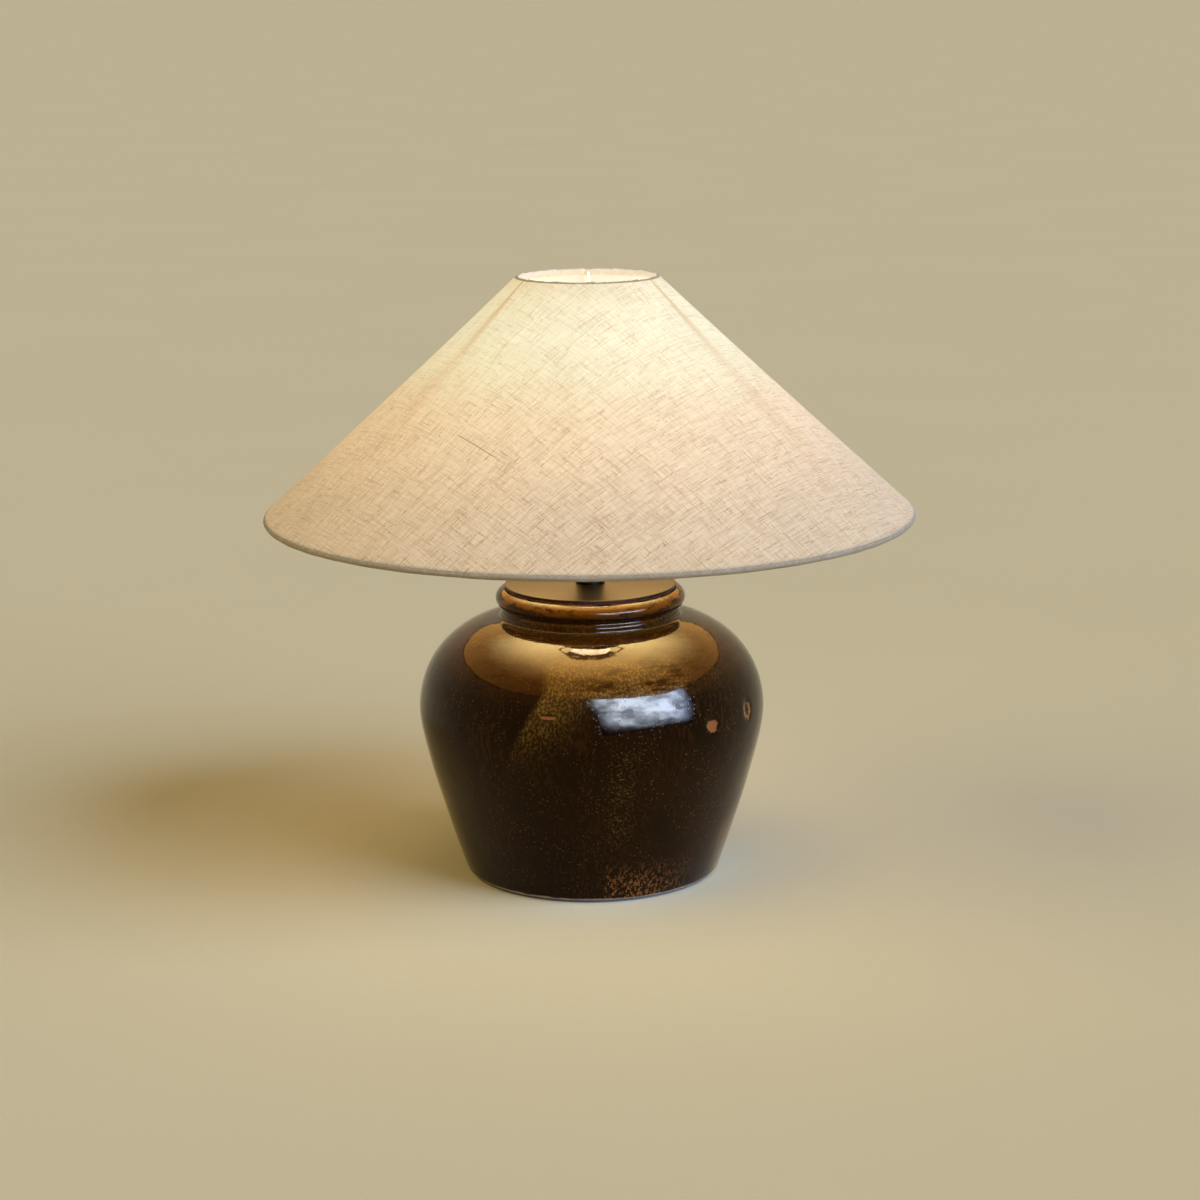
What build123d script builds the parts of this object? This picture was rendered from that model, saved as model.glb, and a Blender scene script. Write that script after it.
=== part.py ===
"""Jar table lamp: a glazed stoneware jar, a bronze cover plate with stem and
lampholder, and a cone shade of linen on a wire frame.

Sizes are in millimetres. The origin is the middle of the underside, +Z is up and
the front looks along -Y. Heights named z_ follow from the sizes of the pieces below.
"""
import os
from math import acos, atan2, cos, degrees, hypot, radians, sin, sqrt

from build123d import *

os.makedirs("parts", exist_ok=True)

# Clearances between neighbouring pieces
seat_gap = 0.3
turn_gap = 0.15

# Felt ring that the jar stands on
pad_thickness = 1.5
pad_inset = 2.5
pad_width = 12.0

# Jar: thrown pot with a straight flank, round shoulder, short neck and rolled lip
foot_radius = 89.5
foot_bevel = 1.2
foot_ring_width = 16.0
foot_recess = 2.5
belly_radius = 121.0
belly_height = 117.2
flank_fullness = 0.79
shoulder_height = 63.5
wall = 7.0
floor_thickness = 9.0
inner_foot_inset = 4.2
mouth_radius = 53.0
neck_wall = 8.0
neck_height = 7.2
neck_ridge = 1.8
ridge_start = 0.9
ridge_end = 4.7
neck_flare = 3.5
lip_section = 6.6
throat_round = 4.0

# Rubber bush for the lead in the lower back wall
cord_bore_radius = 3.5
grommet_wall = 2.2
grommet_head = 3.2
grommet_head_radius = 9.1
grommet_stand = 2.0
grommet_root = 6.0
grommet_inside = 11.2
grommet_height = 26.0

# Cover plate on the lip, with its soft ring
gasket_thickness = 0.8
gasket_width = 4.2
gasket_setback = 0.5
plate_thickness = 2.0
plate_edge = 0.4

# Wiring tube and the clamp under the shoulder
tube_radius = 5.0
tube_bore = 3.7
tube_tail = 3.0
bar_bite = 26.0
bar_width = 20.0
bar_thickness = 4.0
bar_corner_round = 4.0
bar_pad_width = 16.0
bar_pad_length = 16.0
bar_pad_thickness = 2.5
washer_radius = 10.5
washer_thickness = 1.6
nut_across_flats = 14.0
nut_thickness = 4.0
lock_nut_thickness = 3.0
lock_nut_turn = 17
bush_flange = 1.5
bush_wall = 0.8
bush_rim = 1.5
bush_play = 0.1
bush_length = 6.0

# Stem
collar_radius = 10.2
collar_height = 2.6
collar_bevel = 0.65
sleeve_radius = 9.6
sleeve_height = 28.0
sleeve_wall = 3.0

# Lampholder for a 27 mm screw cap
cup_radius = 19.6
cup_height = 26.0
cup_wall = 2.2
cup_boss = 3.0
cup_dome = 10.0
cup_floor = 9.0
cup_floor_rise = 2.0
cup_boss_wall = 1.5
cup_ledge = 5.0
ledge_width = 1.6
grub_radius = 1.5
grub_length = 2.5
grub_height = 5.0
block_height = 8.0
screw_place = 9.5
screw_radius = 1.5
screw_length = 4.0
screw_head_radius = 2.4
screw_head = 1.6
blade_thickness = 0.6
blade_length = 6.0
shell_radius = 13.6
shell_wall = 0.6
shell_height = 23.0
skirt_height = 31.0
skirt_bore = 15.6
flange_height = 7.0
flange_thickness = 2.5
flange_width = 4.4
ring_width = 7.0
ring_height = 7.0
knurl_count = 36
knurl_radius = 1.2
knurl_bite = 0.6
contact_lift = 3.0
contact_strip = 0.6
tongue_width = 6.0
tongue_tail = 9.0
tongue_half = 4.0

# Push-through switch bar
bar_rod_radius = 3.0
bar_rod_height = 16.5
bar_rod_reach = 7.0
bar_rod_travel = 5.0

# Screw-cap bulb
thread_major = 13.2
thread_depth = 1.0
thread_pitch = 3.629
thread_turns = 4
eyelet_radius = 4.6
eyelet_height = 1.4
eyelet_round = 0.8
eyelet_margin = 0.4
insulator_height = 3.2
cap_collar = 8.0
cap_wall = 0.4
globe_radius = 30.0
globe_centre = 75.0
globe_wall = 0.9
globe_collar = 2.0
globe_blend = 30
bulb_stem_radius = 4.0
bulb_stem_height = 52.0
bulb_stem_round = 1.6
lead_radius = 0.5
lead_root = 4.0
lead_spread = 1.5
filament_height = 72.0
filament_half = 14.0
filament_radius = 0.7

# Shade: cone on two wire rings, hung on three arms
shade_bottom_radius = 222.4
shade_top_radius = 47.5
shade_slope_height = 160.9
shade_drop = 15.8
ring_wire = 1.5
lining_thickness = 0.4
linen_thickness = 0.6
arm_wire = 1.6
arm_bend = 11.0
arm_headings = (-150, -30, 90)
arm_overlap = 3.5
carrier_width = 11.5
carrier_thickness = 1.6

# Heights and radii that follow
z_foot = pad_thickness
z_belly = z_foot + belly_height
z_control = z_foot + flank_fullness * belly_height
lip_ring = mouth_radius + lip_section
neck_radius = mouth_radius + neck_wall
neck_foot = neck_radius + neck_flare
shoulder_mid = mouth_radius + throat_round
shoulder_reach = belly_radius - shoulder_mid
shoulder_end = acos((neck_foot - shoulder_mid) / shoulder_reach)
z_neck = z_belly + shoulder_height * sin(shoulder_end)
z_groove = z_neck + neck_height
groove_rise = sqrt(lip_section**2 - (neck_radius - lip_ring)**2)
z_lip = z_groove + groove_rise
z_crest = z_lip + lip_section
z_throat = z_belly + shoulder_height - wall
z_floor = z_foot + floor_thickness
inner_foot = foot_radius - inner_foot_inset
inner_reach = shoulder_reach - wall
inner_rise = shoulder_height - wall
z_plate = z_crest + gasket_thickness
z_plate_top = z_plate + plate_thickness
z_sleeve = z_plate_top + collar_height
z_cup = z_sleeve + sleeve_height
z_ledge = z_cup + cup_height - cup_ledge
z_block_top = z_ledge + block_height
z_skirt = z_cup + cup_height
z_flange = z_skirt + flange_height
z_flange_top = z_flange + flange_thickness
z_bulb = z_block_top + contact_lift
z_rod = z_cup + bar_rod_height
z_shade = z_flange_top - shade_drop
z_shade_top = z_shade + shade_slope_height

# Jar
with BuildPart() as jar:
    with BuildSketch(Plane.XZ):
        with BuildLine():
            ring_inside = foot_radius - foot_ring_width
            Polyline(
                (0, z_foot + foot_recess),
                (ring_inside, z_foot + foot_recess),
                (ring_inside, z_foot),
                (foot_radius - foot_bevel, z_foot),
                (foot_radius, z_foot + foot_bevel),
            )
            Bezier(
                (foot_radius, z_foot + foot_bevel),
                (belly_radius, z_control),
                (belly_radius, z_belly),
            )
            EllipticalCenterArc(
                (shoulder_mid, z_belly),
                shoulder_reach,
                shoulder_height,
                start_angle=0,
                arc_size=degrees(shoulder_end),
            )
            Polyline(
                (neck_foot, z_neck),
                (neck_radius + neck_ridge, z_neck + ridge_start),
                (neck_radius + neck_ridge, z_neck + ridge_end),
                (neck_radius, z_groove),
            )
            lip_start = degrees(atan2(-groove_rise, neck_radius - lip_ring))
            CenterArc((lip_ring, z_lip), lip_section, lip_start, 180 - lip_start)
            Line((mouth_radius, z_lip), (mouth_radius, z_throat + throat_round))
            Bezier(
                (mouth_radius, z_throat + throat_round),
                (mouth_radius, z_throat),
                (shoulder_mid, z_throat),
            )
            EllipticalCenterArc(
                (shoulder_mid, z_belly),
                inner_reach,
                inner_rise,
                start_angle=0,
                arc_size=90,
            )
            Bezier(
                (belly_radius - wall, z_belly),
                (belly_radius - wall, z_control),
                (inner_foot, z_floor),
            )
            Polyline(
                (inner_foot, z_floor),
                (0, z_floor),
                (0, z_foot + foot_recess),
            )
        make_face()
    revolve(axis=Axis.Z)
    grommet_seat = cord_bore_radius + grommet_wall
    with Locations((0, foot_radius, grommet_height)):
        Cylinder(
            grommet_seat + seat_gap / 2,
            foot_radius,
            rotation=(90, 0, 0),
            mode=Mode.SUBTRACT,
        )
jar.part.label = "jar"
export_step(jar.part, "parts/jar.step")

# Felt ring under the foot
with BuildPart() as base_pad:
    with BuildSketch():
        Circle(foot_radius - pad_inset)
        Circle(foot_radius - pad_inset - pad_width, mode=Mode.SUBTRACT)
    extrude(amount=pad_thickness)
base_pad.part.label = "base_pad"
export_step(base_pad.part, "parts/base_pad.step")

# Rubber bush: a sleeve through the wall with a domed head outside
flank_t = (grommet_height - z_foot) / belly_height
flank_root = sqrt(flank_fullness**2 + flank_t * (1 - 2 * flank_fullness))
flank_s = (flank_fullness - flank_root) / (2 * flank_fullness - 1)
wall_outside = belly_radius - (1 - flank_s)**2 * (belly_radius - foot_radius)
grommet_end = wall_outside + grommet_stand + grommet_head
grommet_start = wall_outside - grommet_inside - grommet_head
with BuildPart() as cord_grommet:
    head_length = grommet_end - wall_outside + grommet_root
    with Locations((0, grommet_end - head_length / 2, grommet_height)):
        Cylinder(grommet_head_radius, head_length, rotation=(90, 0, 0))
    outer_edge = cord_grommet.edges().filter_by(GeomType.CIRCLE).sort_by(Axis.Y)[-1]
    fillet(outer_edge, 0.5 * grommet_head)
    add(jar.part, mode=Mode.SUBTRACT)
    head = cord_grommet.solids().sort_by(Axis.Y)[-1]
    add(head, mode=Mode.REPLACE)
    with Locations((0, (grommet_start + wall_outside) / 2, grommet_height)):
        Cylinder(grommet_seat, wall_outside - grommet_start, rotation=(90, 0, 0))
    with Locations((0, wall_outside, grommet_height)):
        Cylinder(cord_bore_radius, foot_radius, rotation=(90, 0, 0), mode=Mode.SUBTRACT)
cord_grommet.part.label = "cord_grommet"
export_step(cord_grommet.part, "parts/cord_grommet.step")

# Soft ring that fills the round of the lip under the plate
gasket_outer = lip_ring - gasket_setback
gasket_inner = gasket_outer - gasket_width
with BuildPart() as rim_gasket:
    with BuildSketch(Plane.XZ):
        with BuildLine():
            outer_angle = acos((gasket_outer - lip_ring) / lip_section)
            inner_angle = acos((gasket_inner - lip_ring) / lip_section)
            lip_face = CenterArc(
                (lip_ring, z_lip),
                lip_section,
                degrees(outer_angle),
                degrees(inner_angle - outer_angle),
            )
            Polyline(lip_face @ 1, (gasket_inner, z_plate), (gasket_outer, z_plate), lip_face @ 0)
        make_face()
    revolve(axis=Axis.Z)
rim_gasket.part.label = "rim_gasket"
export_step(rim_gasket.part, "parts/rim_gasket.step")

# Cover plate
with BuildPart() as cover_plate:
    with Locations((0, 0, z_plate)):
        Cylinder(lip_ring, plate_thickness, align=(Align.CENTER, Align.CENTER, Align.MIN))
    rim_edges = cover_plate.edges().filter_by(GeomType.CIRCLE)
    fillet(rim_edges, plate_edge)
    with Locations((0, 0, z_plate)):
        Cylinder(tube_radius + seat_gap, 4 * plate_thickness, mode=Mode.SUBTRACT)
cover_plate.part.label = "cover_plate"
export_step(cover_plate.part, "parts/cover_plate.step")

# Cross bar under the shoulder, its end pads cut to the shoulder's inside
bar_half = mouth_radius + bar_bite
bar_corner = hypot(bar_half, bar_width / 2)
pad_lean = (bar_corner - shoulder_mid) / inner_reach
z_bar_top = z_belly + inner_rise * sqrt(1 - pad_lean**2) - bar_pad_thickness
z_bar = z_bar_top - bar_thickness
with BuildPart() as clamp_bar:
    with Locations((0, 0, z_bar)):
        Box(2 * bar_half, bar_width, bar_thickness, align=(Align.CENTER, Align.CENTER, Align.MIN))
    fillet(clamp_bar.edges().filter_by(Axis.Z), bar_corner_round)
    with Locations((0, 0, z_bar)):
        Cylinder(tube_radius + seat_gap, 4 * bar_thickness, mode=Mode.SUBTRACT)
clamp_bar.part.label = "clamp_bar"
export_step(clamp_bar.part, "parts/clamp_bar.step")

with BuildPart() as shoulder_inside:
    with BuildSketch(Plane.XZ):
        with BuildLine():
            EllipticalCenterArc(
                (shoulder_mid, z_belly),
                inner_reach,
                inner_rise,
                start_angle=0,
                arc_size=90,
            )
            Polyline(
                (shoulder_mid, z_throat),
                (0, z_throat),
                (0, z_belly),
                (shoulder_mid + inner_reach, z_belly),
            )
        make_face()
    revolve(axis=Axis.Z)

with BuildPart() as clamp_pads:
    pad_middle = bar_half - bar_pad_length / 2
    with Locations((pad_middle, 0, z_bar_top), (-pad_middle, 0, z_bar_top)):
        Box(
            bar_pad_length,
            bar_pad_width,
            shoulder_height,
            align=(Align.CENTER, Align.CENTER, Align.MIN),
        )
    add(shoulder_inside.part, mode=Mode.INTERSECT)
clamp_pads.part.label = "clamp_pads"
export_step(clamp_pads.part, "parts/clamp_pads.step")

# Washer and nuts under the bar
z_washer = z_bar - washer_thickness
with BuildPart() as clamp_washer:
    with BuildSketch(Plane.XY.offset(z_washer)):
        Circle(washer_radius)
        Circle(tube_radius + seat_gap, mode=Mode.SUBTRACT)
    extrude(amount=washer_thickness)
clamp_washer.part.label = "clamp_washer"
export_step(clamp_washer.part, "parts/clamp_washer.step")

z_nut = z_washer - nut_thickness
with BuildPart() as clamp_nut:
    with BuildSketch(Plane.XY.offset(z_nut)):
        RegularPolygon(nut_across_flats / 2, 6, major_radius=False)
        Circle(tube_radius, mode=Mode.SUBTRACT)
    extrude(amount=nut_thickness)
clamp_nut.part.label = "clamp_nut"
export_step(clamp_nut.part, "parts/clamp_nut.step")

z_lock = z_nut - lock_nut_thickness
with BuildPart() as lock_nut:
    with BuildSketch(Plane.XY.offset(z_lock)):
        RegularPolygon(nut_across_flats / 2, 6, major_radius=False, rotation=lock_nut_turn)
        Circle(tube_radius, mode=Mode.SUBTRACT)
    extrude(amount=lock_nut_thickness)
lock_nut.part.label = "lock_nut"
export_step(lock_nut.part, "parts/lock_nut.step")

# Wiring tube from under the nuts into the lampholder, and the ferrule on its tail
z_tube = z_lock - tube_tail
z_tube_top = z_cup + cup_floor - 0.5
with BuildPart() as threaded_tube:
    with BuildSketch(Plane.XY.offset(z_tube)):
        Circle(tube_radius)
        Circle(tube_bore, mode=Mode.SUBTRACT)
    extrude(amount=z_tube_top - z_tube)
threaded_tube.part.label = "threaded_tube"
export_step(threaded_tube.part, "parts/threaded_tube.step")

with BuildPart() as tube_bush:
    with BuildSketch(Plane.XZ):
        spigot = tube_bore - bush_play
        with BuildLine():
            Polyline(
                (spigot - bush_wall, z_tube - bush_flange),
                (tube_radius + bush_rim, z_tube - bush_flange),
                (tube_radius + bush_rim, z_tube),
                (spigot, z_tube),
                (spigot, z_tube + bush_length),
                (spigot - bush_wall, z_tube + bush_length),
                close=True,
            )
        make_face()
    revolve(axis=Axis.Z)
tube_bush.part.label = "tube_bush"
export_step(tube_bush.part, "parts/tube_bush.step")

# Stem: turned collar on the plate and a black sleeve over the tube
with BuildPart() as stem_collar:
    with Locations((0, 0, z_plate_top)):
        Cylinder(collar_radius, collar_height, align=(Align.CENTER, Align.CENTER, Align.MIN))
    chamfer(stem_collar.edges().filter_by(GeomType.CIRCLE).sort_by(Axis.Z)[-1], collar_bevel)
    with Locations((0, 0, z_plate_top)):
        Cylinder(tube_radius, 4 * collar_height, mode=Mode.SUBTRACT)
stem_collar.part.label = "stem_collar"
export_step(stem_collar.part, "parts/stem_collar.step")

with BuildPart() as stem_sleeve:
    with BuildSketch(Plane.XY.offset(z_sleeve)):
        Circle(sleeve_radius)
        Circle(sleeve_radius - sleeve_wall, mode=Mode.SUBTRACT)
    extrude(amount=sleeve_height)
stem_sleeve.part.label = "stem_sleeve"
export_step(stem_sleeve.part, "parts/stem_sleeve.step")

# Lampholder cup: boss on the tube, domed underside, ledge for the contact block
cup_inner = cup_radius - cup_wall
ledge_inner = cup_inner - ledge_width
with BuildPart() as holder_cup:
    with BuildSketch(Plane.XZ):
        with BuildLine():
            Polyline((tube_radius, z_cup), (sleeve_radius, z_cup), (sleeve_radius, z_cup + cup_boss))
            Bezier(
                (sleeve_radius, z_cup + cup_boss),
                (cup_radius, z_cup + cup_boss),
                (cup_radius, z_cup + cup_boss + cup_dome),
            )
            Polyline(
                (cup_radius, z_cup + cup_boss + cup_dome),
                (cup_radius, z_skirt),
                (cup_inner, z_skirt),
                (cup_inner, z_ledge),
                (ledge_inner, z_ledge),
                (ledge_inner, z_cup + cup_floor + cup_floor_rise),
                (tube_radius + cup_boss_wall, z_cup + cup_floor),
                (tube_radius, z_cup + cup_floor),
                (tube_radius, z_cup),
            )
        make_face()
    revolve(axis=Axis.Z)
    with Locations((0, 0, z_rod)):
        Cylinder(bar_rod_radius + turn_gap, 4 * cup_radius, rotation=(0, 90, 0), mode=Mode.SUBTRACT)
    with Locations((0, -cup_radius / 2, z_cup + grub_height)):
        Cylinder(grub_radius, cup_radius, rotation=(90, 0, 0), mode=Mode.SUBTRACT)
holder_cup.part.label = "holder_cup"
export_step(holder_cup.part, "parts/holder_cup.step")

# Set screw that locks the cup on the tube
with BuildPart() as grub_screw:
    with Locations((0, -tube_radius - grub_length / 2, z_cup + grub_height)):
        Cylinder(grub_radius, grub_length, rotation=(90, 0, 0))
    add(threaded_tube.part, mode=Mode.SUBTRACT)
grub_screw.part.label = "grub_screw"
export_step(grub_screw.part, "parts/grub_screw.step")

# Contact block of steatite with its terminal screws and switch blades
with BuildPart() as contact_block:
    with Locations((0, 0, z_ledge)):
        Cylinder(cup_inner - seat_gap, block_height, align=(Align.CENTER, Align.CENTER, Align.MIN))
    with Locations((0, screw_place, z_ledge), (0, -screw_place, z_ledge)):
        Cylinder(screw_radius, block_height, mode=Mode.SUBTRACT)
contact_block.part.label = "contact_block"
export_step(contact_block.part, "parts/contact_block.step")

with BuildPart() as terminal_screws:
    with Locations((0, screw_place, z_ledge), (0, -screw_place, z_ledge)):
        Cylinder(screw_radius, screw_length, align=(Align.CENTER, Align.CENTER, Align.MIN))
        Cylinder(screw_head_radius, screw_head, align=(Align.CENTER, Align.CENTER, Align.MAX))
    add(contact_block.part, mode=Mode.SUBTRACT)
terminal_screws.part.label = "terminal_screws"
export_step(terminal_screws.part, "parts/terminal_screws.step")

blade_place = bar_rod_radius + seat_gap + blade_thickness / 2
with BuildPart() as switch_blades:
    with Locations((0, blade_place, z_ledge), (0, -blade_place, z_ledge)):
        Box(
            2 * bar_rod_radius,
            blade_thickness,
            blade_length,
            align=(Align.CENTER, Align.CENTER, Align.MAX),
        )
switch_blades.part.label = "switch_blades"
export_step(switch_blades.part, "parts/switch_blades.step")

# Sprung tongue in the middle and the screw shell around it
with BuildPart() as centre_contact:
    with BuildSketch(Plane.XZ):
        with BuildLine():
            tongue_top = z_block_top + contact_lift
            Polyline(
                (-tongue_tail, z_block_top),
                (-tongue_half, z_block_top),
                (contact_strip, tongue_top - contact_strip),
                (tongue_half, tongue_top - contact_strip),
                (tongue_half, tongue_top),
                (0, tongue_top),
                (-tongue_half - contact_strip, z_block_top + contact_strip),
                (-tongue_tail, z_block_top + contact_strip),
                close=True,
            )
        make_face()
    extrude(amount=tongue_width / 2, both=True)
centre_contact.part.label = "centre_contact"
export_step(centre_contact.part, "parts/centre_contact.step")

with BuildPart() as screw_shell:
    with BuildSketch(Plane.XY.offset(z_block_top)):
        Circle(shell_radius + shell_wall)
        Circle(shell_radius, mode=Mode.SUBTRACT)
    extrude(amount=shell_height)
screw_shell.part.label = "screw_shell"
export_step(screw_shell.part, "parts/screw_shell.step")

# Skirt with the flange that the shade's carrier rests on, and the retaining ring above it
flange_radius = cup_radius + flange_width
with BuildPart() as holder_skirt:
    with BuildSketch(Plane.XZ):
        with BuildLine():
            z_step = z_block_top + seat_gap
            Polyline(
                (cup_inner, z_skirt),
                (cup_radius, z_skirt),
                (cup_radius, z_flange),
                (flange_radius, z_flange),
                (flange_radius, z_flange_top),
                (cup_radius, z_flange_top),
                (cup_radius, z_skirt + skirt_height),
                (skirt_bore, z_skirt + skirt_height),
                (skirt_bore, z_step),
                (cup_inner, z_step),
                close=True,
            )
        make_face()
    revolve(axis=Axis.Z)
holder_skirt.part.label = "holder_skirt"
export_step(holder_skirt.part, "parts/holder_skirt.step")

z_ring = z_flange_top + carrier_thickness + turn_gap
shade_ring_radius = cup_radius + ring_width
with BuildPart() as shade_ring:
    with BuildSketch(Plane.XY.offset(z_ring)):
        Circle(shade_ring_radius)
        Circle(cup_radius, mode=Mode.SUBTRACT)
        with PolarLocations(shade_ring_radius + knurl_radius - knurl_bite, knurl_count):
            Circle(knurl_radius, mode=Mode.SUBTRACT)
    extrude(amount=ring_height)
shade_ring.part.label = "shade_ring"
export_step(shade_ring.part, "parts/shade_ring.step")

# Switch bar, pushed through to one side
with BuildPart() as switch_bar:
    with Locations((-bar_rod_travel / 2, 0, z_rod)):
        Cylinder(bar_rod_radius, 2 * (cup_radius + bar_rod_reach), rotation=(0, 90, 0))
    fillet(switch_bar.edges().filter_by(GeomType.CIRCLE), 0.4 * bar_rod_radius)
switch_bar.part.label = "switch_bar"
export_step(switch_bar.part, "parts/switch_bar.step")

# Bulb cap: rolled thread below a plain collar
z_insulator = z_bulb + eyelet_height
z_thread = z_insulator + insulator_height
z_collar = z_thread + thread_turns * thread_pitch
z_cap_top = z_collar + cap_collar
thread_minor = thread_major - thread_depth
cap_inner = thread_minor - cap_wall
collar_inner = thread_major - cap_wall
with BuildPart() as bulb_cap:
    with BuildSketch(Plane.XZ):
        with BuildLine():
            for turn in range(thread_turns):
                z_turn = z_thread + turn * thread_pitch
                ThreePointArc(
                    (thread_minor, z_turn),
                    (thread_major, z_turn + thread_pitch / 2),
                    (thread_minor, z_turn + thread_pitch),
                )
            Polyline(
                (thread_minor, z_collar),
                (thread_major, z_collar + thread_depth),
                (thread_major, z_cap_top),
                (collar_inner, z_cap_top),
                (collar_inner, z_collar + 2 * thread_depth),
                (cap_inner, z_collar + thread_depth),
                (cap_inner, z_thread),
                (thread_minor, z_thread),
            )
        make_face()
    revolve(axis=Axis.Z)
bulb_cap.part.label = "bulb_cap"
export_step(bulb_cap.part, "parts/bulb_cap.step")

with BuildPart() as bulb_insulator:
    with Locations((0, 0, z_insulator)):
        Cone(
            eyelet_radius + eyelet_margin,
            thread_minor,
            insulator_height,
            align=(Align.CENTER, Align.CENTER, Align.MIN),
        )
bulb_insulator.part.label = "bulb_insulator"
export_step(bulb_insulator.part, "parts/bulb_insulator.step")

with BuildPart() as bulb_eyelet:
    with Locations((0, 0, z_bulb)):
        Cylinder(eyelet_radius, eyelet_height, align=(Align.CENTER, Align.CENTER, Align.MIN))
    fillet(bulb_eyelet.edges().filter_by(GeomType.CIRCLE).sort_by(Axis.Z)[0], eyelet_round)
bulb_eyelet.part.label = "bulb_eyelet"
export_step(bulb_eyelet.part, "parts/bulb_eyelet.step")

# Glass globe, a sphere drawn down into a neck that stands in the cap's collar
globe_neck = collar_inner - seat_gap
z_globe = z_bulb + globe_centre
z_neck_end = z_collar + 2 * thread_depth + seat_gap
blend = radians(globe_blend)
with BuildPart() as bulb_globe:
    with BuildSketch(Plane.XZ):
        with BuildLine():
            Line((globe_neck, z_neck_end), (globe_neck, z_cap_top + globe_collar))
            Spline(
                (globe_neck, z_cap_top + globe_collar),
                (globe_radius * cos(blend), z_globe - globe_radius * sin(blend)),
                tangents=((0, 1), (sin(blend), cos(blend))),
            )
            CenterArc((0, z_globe), globe_radius, -globe_blend, 90 + globe_blend)
            glass_inner = globe_radius - globe_wall
            Line((0, z_globe + globe_radius), (0, z_globe + glass_inner))
            CenterArc((0, z_globe), glass_inner, -globe_blend, 90 + globe_blend)
            Spline(
                (glass_inner * cos(blend), z_globe - glass_inner * sin(blend)),
                (globe_neck - globe_wall, z_cap_top + globe_collar),
                tangents=((-sin(blend), -cos(blend)), (0, -1)),
            )
            Polyline(
                (globe_neck - globe_wall, z_cap_top + globe_collar),
                (globe_neck - globe_wall, z_neck_end),
                (globe_neck, z_neck_end),
            )
        make_face()
    revolve(axis=Axis.Z)
bulb_globe.part.label = "bulb_globe"
export_step(bulb_globe.part, "parts/bulb_globe.step")

# Glass mount inside the bulb, with the leads and the filament
z_mount_top = z_bulb + bulb_stem_height
with BuildPart() as bulb_stem:
    with Locations((0, 0, z_thread)):
        Cylinder(
            bulb_stem_radius,
            z_mount_top - z_thread,
            align=(Align.CENTER, Align.CENTER, Align.MIN),
        )
    with Locations((0, 0, z_collar)):
        Cone(
            globe_neck - globe_wall - seat_gap,
            bulb_stem_radius,
            2 * bulb_stem_radius,
            align=(Align.CENTER, Align.CENTER, Align.MIN),
        )
    fillet(bulb_stem.edges().filter_by(GeomType.CIRCLE).sort_by(Axis.Z)[-1], bulb_stem_round)
    with Locations((0, 0, z_thread)):
        Cylinder(
            cap_inner - seat_gap,
            z_collar - z_thread + 0.5,
            align=(Align.CENTER, Align.CENTER, Align.MIN),
            mode=Mode.SUBTRACT,
        )
        Cylinder(
            bulb_stem_radius,
            z_collar - z_thread + 0.5,
            align=(Align.CENTER, Align.CENTER, Align.MIN),
        )
bulb_stem.part.label = "bulb_stem"
export_step(bulb_stem.part, "parts/bulb_stem.step")

z_filament = z_bulb + filament_height
with BuildPart() as bulb_leads:
    for side in (-1, 1):
        with BuildLine():
            lead = Line((side * lead_spread, 0, z_mount_top - lead_root), (side * filament_half, 0, z_filament))
        with BuildSketch(Plane(origin=lead @ 0, z_dir=lead % 0)):
            Circle(lead_radius)
        sweep(path=lead)
    add(bulb_stem.part, mode=Mode.SUBTRACT)
bulb_leads.part.label = "bulb_leads"
export_step(bulb_leads.part, "parts/bulb_leads.step")

with BuildPart() as bulb_filament:
    with Locations((0, 0, z_filament)):
        Cylinder(filament_radius, 2 * (filament_half - lead_radius), rotation=(0, 90, 0))
    add(bulb_leads.part, mode=Mode.SUBTRACT)
    coil = bulb_filament.solids().sort_by(SortBy.VOLUME)[-1]
    add(coil, mode=Mode.REPLACE)
bulb_filament.part.label = "bulb_filament"
export_step(bulb_filament.part, "parts/bulb_filament.step")

# Wire rings of the shade
with BuildPart() as bottom_ring:
    with Locations((0, 0, z_shade)):
        Torus(shade_bottom_radius, ring_wire)
bottom_ring.part.label = "bottom_ring"
export_step(bottom_ring.part, "parts/bottom_ring.step")

with BuildPart() as top_ring:
    with Locations((0, 0, z_shade_top)):
        Torus(shade_top_radius, ring_wire)
top_ring.part.label = "top_ring"
export_step(top_ring.part, "parts/top_ring.step")

# Flat ring that carries the shade on the flange, and the three arms welded on it
carrier_bore = cup_radius + 3 * seat_gap
carrier_radius = carrier_bore + carrier_width
with BuildPart() as spider_ring:
    with BuildSketch(Plane.XY.offset(z_flange_top)):
        Circle(carrier_radius)
        Circle(carrier_bore, mode=Mode.SUBTRACT)
    extrude(amount=carrier_thickness)
spider_ring.part.label = "spider_ring"
export_step(spider_ring.part, "parts/spider_ring.step")

arm_radius = shade_top_radius - ring_wire - arm_wire
arm_start = max(shade_ring_radius + 2 * seat_gap, carrier_radius - arm_overlap)
z_arm = z_flange_top + carrier_thickness + arm_wire
with BuildPart() as spider_arms:
    for heading in arm_headings:
        turn = radians(heading)
        upright = Plane((0, 0, 0), x_dir=(cos(turn), sin(turn), 0), z_dir=(sin(turn), -cos(turn), 0))
        with BuildLine(upright) as arm_path:
            FilletPolyline(
                (arm_start, z_arm),
                (arm_radius, z_arm),
                (arm_radius, z_shade_top + 0.5 * arm_wire),
                radius=arm_bend,
            )
        with BuildSketch(Plane(origin=arm_path.line @ 0, z_dir=arm_path.line % 0)):
            Circle(arm_wire)
        sweep(path=arm_path.line)
spider_arms.part.label = "spider_arms"
export_step(spider_arms.part, "parts/spider_arms.step")

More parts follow.
